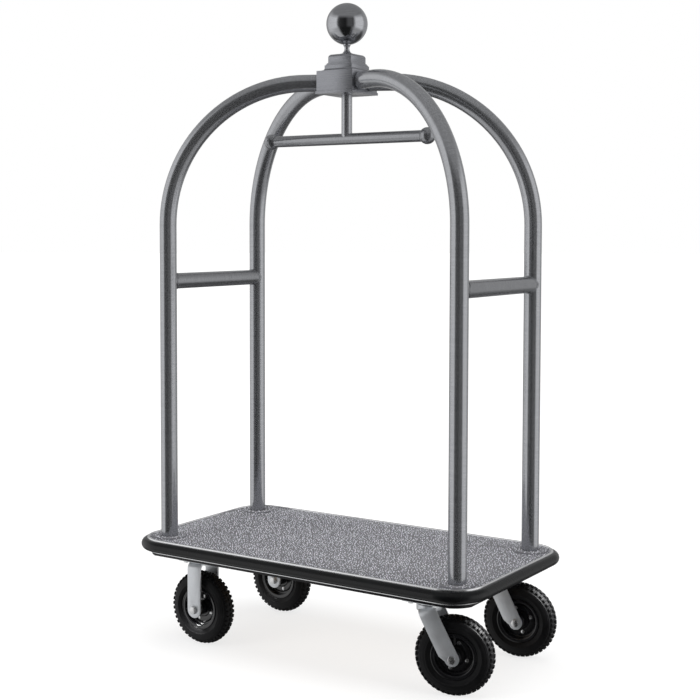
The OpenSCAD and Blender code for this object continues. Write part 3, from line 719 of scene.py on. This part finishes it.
@dataclass(frozen=True)
class Lamp:
    """A soft square lamp; its place is measured from the cart's middle, as the viewer sees it."""

    name: str
    right: float
    nearer: float
    height: float
    size: float
    power: float
    glints: bool = False


@dataclass
class Studio:
    """The camera, the floor and the light."""

    azimuth_deg: float = 33.248
    distance: float = 3.647
    eye_height: float = 1.168
    pitch_deg: float = 3.086
    roll_deg: float = 0.12
    lens_mm: float = 68.115
    sensor_mm: float = 36.0
    shift_right: float = 0.0051
    shift_up: float = -0.0714
    floor_radius: float = 60.0
    floor_glow: Point = (0.76, 1.0)
    glow_reach: Point = (1.0, 4.0)
    upper_walls: tuple[Point, ...] = (
        (0.0, 0.45), (0.09, 0.4), (0.16, 0.9), (0.325, 1.05), (0.355, 0.16), (0.38, 0.05), (0.48, 0.02),
        (0.52, 0.12), (0.575, 0.13), (0.6, 0.07), (0.645, 1.0), (0.775, 1.0), (0.81, 0.5), (1.0, 0.45))
    lower_walls: tuple[Point, ...] = (
        (0.0, 0.08), (0.12, 0.1), (0.2, 0.8), (0.34, 0.6), (0.38, 0.02), (0.56, 0.02), (0.64, 0.5),
        (0.76, 0.5), (0.81, 0.08), (1.0, 0.08))
    wall_heights: tuple[Point, ...] = ((0.0, 1.0), (0.7, 1.0), (0.82, 0.0), (1.0, 0.0))
    upper_from: float = -0.45
    upper_blend: float = 5.0
    upper_round: float = 0.05
    roof: float = 0.34
    brightness: float = 1.2
    aim: tuple[float, float, float] = (0.0, 0.0, 0.6)
    lamps: tuple[Lamp, ...] = (
        Lamp("glint_left", -2.1, -0.2, 2.5, size=0.8, power=320.0, glints=True),
        Lamp("glint_right", 2.3, 0.45, 2.2, size=0.8, power=320.0, glints=True),
        Lamp("lamp_above", 0.0, 0.0, 4.2, size=4.0, power=150.0),
        Lamp("lamp_right", 3.4, 2.2, 2.6, size=2.0, power=50.0),
        Lamp("lamp_left", -3.4, 2.0, 2.2, size=2.0, power=40.0))
    glinting: bpy.types.Collection = field(default_factory=lambda: bpy.data.collections.new("glinting"))

    def place_camera(self) -> None:
        """Puts the camera in front of the right end of the cart, at eye height."""
        azimuth, pitch, roll = (math.radians(a) for a in (self.azimuth_deg, self.pitch_deg, self.roll_deg))
        forward = Vector((-math.sin(azimuth) * math.cos(pitch), math.cos(azimuth) * math.cos(pitch),
                          -math.sin(pitch)))
        level_right = Vector((math.cos(azimuth), math.sin(azimuth), 0.0))
        level_up = level_right.cross(forward)
        right = level_right * math.cos(roll) + level_up * math.sin(roll)
        up = level_up * math.cos(roll) - level_right * math.sin(roll)
        data = bpy.data.cameras.new("camera")
        data.sensor_width = self.sensor_mm
        data.lens = self.lens_mm
        data.shift_x = self.shift_right
        data.shift_y = self.shift_up
        camera = bpy.data.objects.new("camera", data)
        bpy.context.scene.collection.objects.link(camera)
        camera.matrix_world = Matrix((
            (right.x, up.x, -forward.x, math.sin(azimuth) * self.distance),
            (right.y, up.y, -forward.y, -math.cos(azimuth) * self.distance),
            (right.z, up.z, -forward.z, self.eye_height),
            (0.0, 0.0, 0.0, 1.0)))
        bpy.context.scene.camera = camera

    def lay_floor(self) -> None:
        """A wide pale floor, which glossy metal does not mirror."""
        shape = bmesh.new()
        bmesh.ops.create_circle(shape, cap_ends=True, segments=64, radius=self.floor_radius)
        floor = bpy.data.objects.new("floor", finish_mesh("floor", shape))
        bpy.context.scene.collection.objects.link(floor)
        graph = Graph("floor_paint", Roughness=0.9, Specular_IOR_Level=0.1,
                      Base_Color=(0.3, 0.3, 0.3), Emission_Color=(1.0, 1.0, 1.0))
        away = graph.add("ShaderNodeVectorMath", {"operation": "LENGTH"}, i0=graph.place)["Value"]
        graph.drive("Emission Strength", graph.span(away, *self.floor_glow, *self.glow_reach))
        floor.data.materials.append(graph.material)
        floor.visible_glossy = False

    def light_room(self) -> None:
        """The room: white behind the cart, light panels at both sides and a dark end behind the viewer."""
        world = bpy.data.worlds.new("room")
        world.use_nodes = True
        room = StepTree(world.node_tree)
        turned = room.add("ShaderNodeMapping", Vector=room.add("ShaderNodeTexCoord")["Generated"],
                          Rotation=(0.0, 0.0, -math.radians(self.azimuth_deg)))
        way = room.add("ShaderNodeSeparateXYZ", i0=turned["Vector"])
        angle = room.math("ARCTAN2", way["X"], room.math("MULTIPLY", way["Y"], -1.0))
        share = room.math("ADD", room.math("DIVIDE", angle, FULL_TURN), 0.5)
        upper, lower = (room.ramp(share, greys(walls)) for walls in (self.upper_walls, self.lower_walls))
        above = room.math("MULTIPLY", room.math("SUBTRACT", way["Z"], self.upper_from), self.upper_blend)
        raised = room.math("SMOOTH_MIN", room.math("MAXIMUM", above, 0.0), 1.0, self.upper_round)
        walls = room.math("ADD", room.math("MULTIPLY", upper, raised),
                          room.math("MULTIPLY", lower, room.math("SUBTRACT", 1.0, raised)))
        height = room.math("ADD", room.math("MULTIPLY", way["Z"], 0.5), 0.5)
        under_roof = room.ramp(height, greys(self.wall_heights))
        roof = room.math("MULTIPLY", room.math("SUBTRACT", 1.0, under_roof), self.roof)
        total = room.math("ADD", room.math("MULTIPLY", walls, under_roof), roof)
        lit = room.add("ShaderNodeBackground", Strength=room.math("MULTIPLY", total, self.brightness))
        white = room.add("ShaderNodeBackground", Strength=1.0, Color=(1.0, 1.0, 1.0, 1.0))
        seen = room.add("ShaderNodeLightPath")["Is Camera Ray"]
        both = room.add("ShaderNodeMixShader", i0=seen, i1=lit[0], i2=white[0])
        room.add("ShaderNodeOutputWorld", Surface=both[0])
        bpy.context.scene.world = world

    def hang_lamps(self) -> None:
        """Hangs the lamps; those that glint are mirrored, and light the glinting pieces only."""
        azimuth = math.radians(self.azimuth_deg)
        to_viewer = Vector((math.sin(azimuth), -math.cos(azimuth), 0.0))
        to_right = Vector((math.cos(azimuth), math.sin(azimuth), 0.0))
        for plan in self.lamps:
            place = to_right * plan.right + to_viewer * plan.nearer + Vector((0.0, 0.0, plan.height))
            data = bpy.data.lights.new(plan.name, "AREA")
            data.size = plan.size
            data.energy = plan.power
            lamp = bpy.data.objects.new(plan.name, data)
            lamp.location = place
            lamp.rotation_euler = (Vector(self.aim) - place).to_track_quat("-Z", "Y").to_euler()
            lamp.visible_glossy = plan.glints
            bpy.context.scene.collection.objects.link(lamp)
            if plan.glints:
                lamp.light_linking.receiver_collection = self.glinting

    def build(self) -> None:
        """Sets up the whole studio."""
        self.place_camera()
        self.lay_floor()
        self.light_room()
        self.hang_lamps()
        bpy.context.scene.view_settings.view_transform = "Standard"
        log.info("studio ready")


# ---------- deck ----------


@dataclass(frozen=True)
class TrimBead:
    """A rounded metal bead along the edge channel; its middle lies inset from the outer face."""

    name: str
    inset: float
    width: float
    rise: float


@dataclass
class Deck:
    """Board, carpet, edge channel, bumper and underframe."""

    finishes: Finishes
    cut: tuple[float, float] = (1.056, 0.558)
    cut_area: float = 0.576
    corner_r: float = 0.085
    corner_steps: int = 14
    bead_sides: int = 14
    top_bead: TrimBead = TrimBead("trim_bead_top", 3.5 * MM, 6.2 * MM, 4.2 * MM)
    bottom_bead: TrimBead = TrimBead("trim_bead_bottom", 4.5 * MM, 5.2 * MM, 3.6 * MM)
    frame_edge: float = 1.2 * MM
    cloth_edge: float = 1.0 * MM
    cloth_edge_deg: float = 25.0
    pile_from: float = 0.2932
    pile_facing: float = 0.85
    tuft_gap: float = 5.2 * MM
    tuft_width: float = 3.4 * MM
    tuft_height: float = 1.6 * MM
    tuft_sizes: Point = (0.8, 1.3)
    tuft_sides: int = 5
    tuft_rings: tuple[Point, ...] = ((-0.6, 1.0), (0.45, 0.86))
    tufts_per_m2: float = 42000.0

    def dress_nodes(self) -> None:
        """Gives the deck's CAD nodes their materials."""
        dress(self.finishes.plywood, "deck_board")
        dress(self.finishes.bumper, "bumper")
        dress(self.finishes.trim, "edge_channel")
        dress(self.finishes.bolt, "deck_screws", "post_bolts")
        dress(self.finishes.zinc, "post_flanges")
        dress(self.finishes.steel, "post_plugs")
        softened("underframe", "underframe_tubes", self.finishes.frame, self.frame_edge)

    def tuft(self) -> Object:
        """One loop of yarn: a low dome with few sides.

        Returns:
            The dome, one high and one wide.
        """
        shape = bmesh.new()
        sides = range(self.tuft_sides)
        low, high = [], []
        for ring, (level, width) in zip((low, high), self.tuft_rings):
            for k in sides:
                angle = FULL_TURN * k / self.tuft_sides + level
                ring.append(shape.verts.new((0.5 * width * math.cos(angle), 0.5 * width * math.sin(angle),
                                             level)))
        top = shape.verts.new((0.0, 0.0, 1.0))
        for k in sides:
            after = (k + 1) % self.tuft_sides
            shape.faces.new((low[k], low[after], high[after], high[k]))
            shape.faces.new((high[k], high[after], top))
        shape.faces.new(low[::-1])
        return seed_object("tuft_seed", shape, 80.0)

    def pile(self, ground: Mesh) -> Mesh:
        """Scatters tufts over the faces of the carpet that look up.

        Args:
            ground: the cloth's mesh.

        Returns:
            All the tufts.
        """
        tool = NodesTool("CarpetPile", {
            "Tuft": self.tuft(), "Gap": self.tuft_gap, "Width": self.tuft_width,
            "Height": self.tuft_height, "Lowest": self.pile_from, "Facing": self.pile_facing,
            "Smallest": self.tuft_sizes[0], "Largest": self.tuft_sizes[1],
            "Density": self.tufts_per_m2, "Seed": 7, "Material": self.finishes.pile})
        pins = tool.pins
        place = tool.add("ShaderNodeSeparateXYZ", i0=tool.add("GeometryNodeInputPosition")[0])
        upward = tool.add("ShaderNodeSeparateXYZ", i0=tool.add("GeometryNodeInputNormal")[0])
        high = tool.math("GREATER_THAN", place["Z"], pins["Lowest"])
        facing = tool.math("GREATER_THAN", upward["Z"], pins["Facing"])
        points = tool.add("GeometryNodeDistributePointsOnFaces", {"distribute_method": "POISSON"},
                          Mesh=pins["Geometry"], Selection=tool.math("MULTIPLY", high, facing),
                          Distance_Min=pins["Gap"], Density_Max=pins["Density"], Seed=pins["Seed"])
        size = tool.add("ShaderNodeCombineXYZ", X=pins["Width"], Y=pins["Width"], Z=pins["Height"])
        wild = tool.add("FunctionNodeRandomValue", {"data_type": "FLOAT"}, i2=pins["Smallest"],
                        i3=pins["Largest"], Seed=3)
        scale = tool.add("ShaderNodeVectorMath", {"operation": "SCALE"}, i0=size[0], Scale=wild[1])
        tufts = tool.add("GeometryNodeInstanceOnPoints", Points=points["Points"],
                         Instance=tool.add("GeometryNodeObjectInfo", i0=pins["Tuft"])["Geometry"],
                         Rotation=points["Rotation"], Scale=scale[0])
        own = tool.add("FunctionNodeRandomValue", {"data_type": "FLOAT"}, i2=0.0, i3=1.0, Seed=11)
        stored = tool.add("GeometryNodeStoreNamedAttribute",
                          {"data_type": "FLOAT", "domain": "INSTANCE"}, Geometry=tufts[0],
                          Name="shade", Value=own[1])
        return tool.run(stored[0], ground, "carpet_pile")

    def lay_carpet(self) -> None:
        """Replaces the carpet's plain solid by its ground cloth with tufts on it."""
        cloth = softened("deck_carpet", "carpet", self.finishes.backing, self.cloth_edge,
                         self.cloth_edge_deg)
        mesh = self.pile(cloth.data.copy())
        tufts = add_piece("carpet_pile", mesh, self.finishes.pile, "cart")

    def lay_bead(self, bead: TrimBead, height: float) -> None:
        """Lays a bead along the edge channel.

        Args:
            bead: its name and sizes.
            height: the height of its middle.
        """
        low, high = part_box("edge_channel")
        tool = NodesTool("TrimBead", {
            "Length": high.x - low.x - 2 * bead.inset, "Depth": high.y - low.y - 2 * bead.inset,
            "Corner": self.corner_r - bead.inset, "Corner steps": self.corner_steps,
            "Sides": self.bead_sides, "Height": height, "Width": bead.width, "Rise": bead.rise,
            "Material": self.finishes.trim})
        pins = tool.pins
        plan = tool.add("GeometryNodeCurvePrimitiveQuadrilateral", Width=pins["Length"],
                        Height=pins["Depth"])
        path = tool.add("GeometryNodeFilletCurve", {"mode": "POLY"}, i0=plan[0], Radius=pins["Corner"],
                        Count=pins["Corner steps"])
        shift = tool.add("ShaderNodeCombineXYZ", Z=pins["Height"])
        path = tool.add("GeometryNodeTransform", Geometry=path[0], Translation=shift[0])
        section = tool.add("GeometryNodeCurvePrimitiveCircle", Resolution=pins["Sides"], Radius=0.5)
        size = tool.add("ShaderNodeCombineXYZ", X=pins["Rise"], Y=pins["Width"], Z=1.0)
        section = tool.add("GeometryNodeTransform", Geometry=section[0], Scale=size[0])
        swept = tool.add("GeometryNodeCurveToMesh", Curve=path[0], Profile_Curve=section[0])
        shape = bmesh.new()
        shape.from_mesh(tool.run(swept[0], bpy.data.meshes.new("trim_start"), bead.name))
        add_piece(bead.name, finish_mesh(bead.name, shape, 60.0), self.finishes.trim, "cart")

    def build(self) -> None:
        """Dresses the deck, beads its edge and lays its carpet."""
        self.dress_nodes()
        low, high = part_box("edge_channel")
        self.lay_bead(self.top_bead, high.z)
        self.lay_bead(self.bottom_bead, low.z)
        self.lay_carpet()


# ---------- birdcage ----------


@dataclass
class Birdcage:
    """Arches, hand rails and the welds where they meet."""

    finishes: Finishes
    post_over_rail: float = 1.25 * MM
    bead: float = 2.1 * MM
    bead_steps: int = 96
    bead_sides: int = 8
    bead_flatness: float = 0.7
    ripples: int = 26
    ripple: float = 0.12
    least_reach: float = 4.0 * MM

    def weld(self, post: Vector, side: float, tube_r: float, rail_r: float, shape: BMesh) -> None:
        """A rippled bead along the curve where a rail meets its post.

        Args:
            post: the point where the two axes meet.
            side: +1 if the rail leaves the post towards +Y, -1 towards -Y.
            tube_r: the post's radius.
            rail_r: the rail's radius.
            shape: the bmesh that takes the bead.
        """
        rings = []
        turns = [FULL_TURN * k / self.bead_sides for k in range(self.bead_sides)]
        for step in range(self.bead_steps):
            angle = FULL_TURN * step / self.bead_steps
            x, z = rail_r * math.cos(angle), rail_r * math.sin(angle)
            y = side * math.sqrt(tube_r * tube_r - x * x)
            from_rail = Vector((math.cos(angle), 0.0, math.sin(angle)))
            out = (Vector((x, y, 0.0)).normalized() + from_rail).normalized()
            lean = side * math.sin(angle) * x / max(abs(y), self.least_reach)
            tangent = Vector((-math.sin(angle), lean, math.cos(angle)))
            across = tangent.normalized().cross(out).normalized()
            radius = self.bead * (1.0 + self.ripple * math.cos(self.ripples * angle))
            rings.append([shape.verts.new(post + Vector((x, y, z)) + radius * (
                math.cos(turn) * out * self.bead_flatness + math.sin(turn) * across)) for turn in turns])
        join_rings(shape, rings)

    def build(self) -> None:
        """Dresses the tubes and welds the rails on."""
        dress(self.finishes.arch, *(wheel + "_arch" for wheel in WHEELS))
        dress(self.finishes.tube_y, "left_handrail", "right_handrail")
        shape = bmesh.new()
        for rail in ("left_handrail", "right_handrail"):
            low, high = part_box(rail)
            rail_r = (high.z - low.z) / 2.0
            for y, side in ((low.y, 1.0), (high.y, -1.0)):
                post = Vector(((low.x + high.x) / 2.0, y, (low.z + high.z) / 2.0))
                self.weld(post, side, rail_r + self.post_over_rail, rail_r, shape)
        add_piece("rail_welds", finish_mesh("rail_welds", shape, 60.0), self.finishes.tube_y, "cart")


# ---------- crown and garment bar ----------


@dataclass
class Crown:
    """The block where the arches meet, the finial on it and the garment bar under it."""

    finishes: Finishes
    casting_edge: float = 0.7 * MM
    moulding_edge: float = 0.4 * MM

    def build(self) -> None:
        """Dresses the crown, the finial and the bar."""
        for node, name, edge in (("crown_block", "crown_casting", self.casting_edge),
                                 ("crown_base_plate", "crown_foot", self.casting_edge),
                                 ("finial_base", "finial_moulding", self.moulding_edge)):
            softened(node, name, self.finishes.crown, edge)
        dress(self.finishes.bolt, "crown_screws")
        dress(self.finishes.ball, "finial_ball")
        dress(self.finishes.tube_z, "finial_stem", "hanger_stem")
        dress(self.finishes.tube_x, "garment_bar", "garment_bar_balls")


# ---------- casters ----------


@dataclass
class Wheel:
    """One pneumatic wheel: tyre with tread lugs, pressed rim halves, rim bolts and bearings."""

    finishes: Finishes
    name: str
    place: Matrix
    ring_r: float = 75.5 * MM
    carcass_r: float = 23.6 * MM
    carcass_deg: float = 142.0
    carcass_steps: int = 84
    cavity_r: float = 21.0 * MM
    cavity_deg: float = 150.0
    cavity_steps: int = 36
    ribs_deg: tuple[float, ...] = (58.0, 66.0, 98.0)
    rib_width_deg: float = 2.6
    rib_rise: float = 0.9 * MM
    wall_from_deg: float = 70.0
    wall_over_deg: float = 25.0
    wall_rise: float = 1.2 * MM
    foot: tuple[Point, ...] = ((50.5 * MM, 10.2 * MM), (50.5 * MM, 17.0 * MM), (60.5 * MM, 17.8 * MM))
    lugs_round: int = 44
    lug_rows: int = 3
    lug_step_deg: float = 31.0
    lug_size: tuple[float, float, float] = (8.8 * MM, 10.2 * MM, 5.0 * MM)
    lug_taper: Point = (0.84, 0.86)
    lug_edge: float = 0.07
    lug_lift: float = 0.9 * MM
    rim_line: tuple[Point, ...] = (
        (0.0172, 0.0269), (0.0186, 0.0262), (0.0186, 0.0012), (0.0245, 0.0012), (0.0285, 0.0042),
        (0.0395, 0.0042), (0.0432, 0.0012), (0.0495, 0.0012), (0.0495, 0.0190), (0.0578, 0.0190),
        (0.0583, 0.0208))
    rim_rounds: tuple[float, ...] = (
        0.0012, 0.0022, 0.0018, 0.0018, 0.0018, 0.0018, 0.0035, 0.003, 0.0007)
    rim_sheet: float = 1.9 * MM
    bolt_edge: float = 0.35 * MM

    @property
    def body(self) -> str:
        """The CAD body of this wheel."""
        return self.name + "_wheel"

    def placed(self, mesh: Mesh) -> Mesh:
        """Moves a mesh made about the origin to the wheel's place."""
        mesh.transform(self.place)
        return mesh

    def skin_radius(self, degrees: float) -> float:
        """The radius of the tyre's section, with its ribs and thicker side walls.

        Args:
            degrees: the angle from the tread's middle.

        Returns:
            The radius.
        """
        ribs = sum(math.exp(-((degrees - rib) / self.rib_width_deg) ** 2) for rib in self.ribs_deg)
        wall = max(0.0, min(1.0, (degrees - self.wall_from_deg) / self.wall_over_deg))
        return self.carcass_r + self.rib_rise * ribs + self.wall_rise * wall

    def carcass(self) -> Mesh:
        """The tyre without its tread: a hollow ring with ribbed side walls.

        Returns:
            The ring, about the origin.
        """
        def arc(sweep_deg: float, steps: int) -> list[float]:
            """Even angles in degrees from -sweep_deg to +sweep_deg."""
            return [sweep_deg * (2.0 * k / steps - 1.0) for k in range(steps + 1)]

        def spot(degrees: float, radius: float) -> Point:
            """A point of the section, at an angle from the tread's middle."""
            angle = math.radians(degrees)
            return self.ring_r + radius * math.cos(angle), radius * math.sin(angle)

        sweep = arc(self.carcass_deg, self.carcass_steps)
        outer = [spot(turn, self.skin_radius(abs(turn))) for turn in sweep]
        inner = [spot(-turn, self.cavity_r) for turn in arc(self.cavity_deg, self.cavity_steps)]
        shape = bmesh.new()
        lathe(shape, [(r, -y) for r, y in self.foot] + outer + list(self.foot[::-1]) + inner, 120)
        return finish_mesh("carcass", shape, 40.0)

    def lug(self) -> Object:
        """One tread block, with its top along +Z and its length along X.

        Returns:
            The block, in a cube of one.
        """
        shape = bmesh.new()
        bmesh.ops.create_cube(shape, size=1.0)
        for vert in shape.verts:
            if vert.co.z > 0.0:
                vert.co.x *= self.lug_taper[0]
                vert.co.y *= self.lug_taper[1]
        bmesh.ops.bevel(shape, geom=shape.edges[:], offset=self.lug_edge, segments=1, affect="EDGES",
                        clamp_overlap=True)
        return seed_object("lug_seed", shape, 40.0)

    def tread(self) -> Mesh:
        """Rows of staggered blocks round the tyre, the outer rows on its shoulders.

        Returns:
            All the blocks, about the origin.
        """
        points = bpy.data.meshes.new("lug_points")
        points.from_pydata([(0.0, 0.0, 0.0)] * (self.lugs_round * self.lug_rows), [], [])
        length, width, height = self.lug_size
        tool = NodesTool("TreadBlocks", {
            "Block": self.lug(), "Round": self.lugs_round, "Rows": self.lug_rows,
            "Ring radius": self.ring_r, "Section radius": self.carcass_r + self.lug_lift,
            "Step": math.radians(self.lug_step_deg), "Length": length, "Width": width,
            "Height": height, "Material": self.finishes.tyre})
        pins, calc = tool.pins, tool.math
        index = tool.add("GeometryNodeInputIndex")[0]
        row = calc("FLOOR", calc("DIVIDE", index, pins["Round"]))
        column = calc("MODULO", index, pins["Round"])
        shift = calc("MULTIPLY", calc("MODULO", row, 2.0), 0.5)
        turn = calc("MULTIPLY", calc("DIVIDE", calc("ADD", column, shift), pins["Round"]), FULL_TURN)
        middle = calc("DIVIDE", calc("SUBTRACT", pins["Rows"], 1.0), 2.0)
        slope = calc("MULTIPLY", calc("SUBTRACT", row, middle), pins["Step"])
        reach = calc("ADD", pins["Ring radius"],
                     calc("MULTIPLY", pins["Section radius"], calc("COSINE", slope)))
        along = calc("MULTIPLY", pins["Section radius"], calc("SINE", slope))
        spot = tool.add("ShaderNodeCombineXYZ", X=calc("MULTIPLY", reach, calc("SINE", turn)),
                        Y=along, Z=calc("MULTIPLY", reach, calc("COSINE", turn)))
        moved = tool.add("GeometryNodeSetPosition", Geometry=pins["Geometry"], Position=spot[0])
        lean = tool.add("ShaderNodeCombineXYZ", X=calc("MULTIPLY", slope, -1.0), Y=turn)
        size = tool.add("ShaderNodeCombineXYZ", X=pins["Length"], Y=pins["Width"], Z=pins["Height"])
        blocks = tool.add("GeometryNodeInstanceOnPoints", Points=moved[0],
                          Instance=tool.add("GeometryNodeObjectInfo", i0=pins["Block"])["Geometry"],
                          Rotation=tool.add("FunctionNodeEulerToRotation", Euler=lean[0])[0],
                          Scale=size[0])
        return tool.run(blocks[0], points, self.name + "_tread")

    def build_tyre(self) -> None:
        """Joins the carcass and its tread into one piece."""
        joined = bmesh.new()
        joined.from_mesh(self.carcass())
        joined.from_mesh(self.tread())
        mesh = finish_mesh(self.name + "_tyre_treaded", joined, 40.0)
        add_piece(mesh.name, self.placed(mesh), self.finishes.tyre, self.body,
                  [self.name + "_tyre"])

    def build_rims(self) -> None:
        """Lathes both rim halves from one pressed sheet's line."""
        outline = thickened(rounded(self.rim_line, self.rim_rounds), self.rim_sheet)
        for half, sign in (("outer", -1.0), ("inner", 1.0)):
            shape = bmesh.new()
            lathe(shape, [(r, y * sign) for r, y in outline], 96)
            mesh = finish_mesh(f"{self.name}_rim_{half}_pressed", shape, 50.0)
            add_piece(mesh.name, self.placed(mesh), self.finishes.rim, self.body,
                      [f"{self.name}_rim_{half}"])

    def build(self) -> None:
        """Builds the wheel and dresses what stays of its CAD nodes."""
        self.build_tyre()
        self.build_rims()
        softened(self.name + "_rim_bolts", self.name + "_rim_bolts_turned", self.finishes.bolt,
                 self.bolt_edge)
        dress(self.finishes.inner_rubber, self.name + "_inner_tube")
        dress(self.finishes.steel, self.name + "_bearings")


@dataclass
class Casters:
    """Two rigid casters on the left, two swivel casters on the right, and their wheels."""

    finishes: Finishes
    fork_edge: float = 0.6 * MM
    bolt_edge: float = 0.5 * MM

    def wheel_place(self, name: str) -> Matrix:
        """Where a wheel's middle is and how it is turned, read from its spin joint.

        Args:
            name: the wheel's name.

        Returns:
            Its place, with Y along its axle.
        """
        joint = next(j for j in frame["joints"] if j["name"] == name + "_spin")
        axis = Vector(joint["axis"])
        heading = math.atan2(-axis.x, axis.y)
        if name.startswith("rear"):
            heading += math.pi
        return Matrix.Translation(Vector(joint["pos_m"])) @ Matrix.Rotation(heading, 4, "Z")

    def build(self) -> None:
        """Builds the four wheels and dresses forks, plates and bolts."""
        for wheel in WHEELS:
            Wheel(self.finishes, wheel, self.wheel_place(wheel)).build()
            softened(wheel + "_fork", wheel + "_fork_pressed", self.finishes.zinc,
                     self.fork_edge)
        for bolts in ("left_axle_bolts", "front_right_axle_bolt", "rear_right_axle_bolt"):
            softened(bolts, bolts + "_turned", self.finishes.bolt, self.bolt_edge)
        dress(self.finishes.bolt, "caster_bolts")
        dress(self.finishes.steel, "kingpins", "swivel_balls")
        dress(self.finishes.zinc, "swivel_top_plates")


def main() -> None:
    """Builds the studio and every sub-assembly."""
    logging.basicConfig(level=logging.INFO, format="%(message)s")
    studio = Studio()
    studio.build()
    finishes = Finishes()
    for assembly in (Deck(finishes), Birdcage(finishes), Crown(finishes), Casters(finishes)):
        assembly.build()
        log.info("%s done", type(assembly).__name__)
    for wheel in WHEELS:
        for part in ("tyre_treaded", "rim_outer_pressed", "rim_bolts_turned"):
            studio.glinting.objects.link(bpy.data.objects[f"{wheel}_{part}"])


if __name__ == "__main__":
    main()
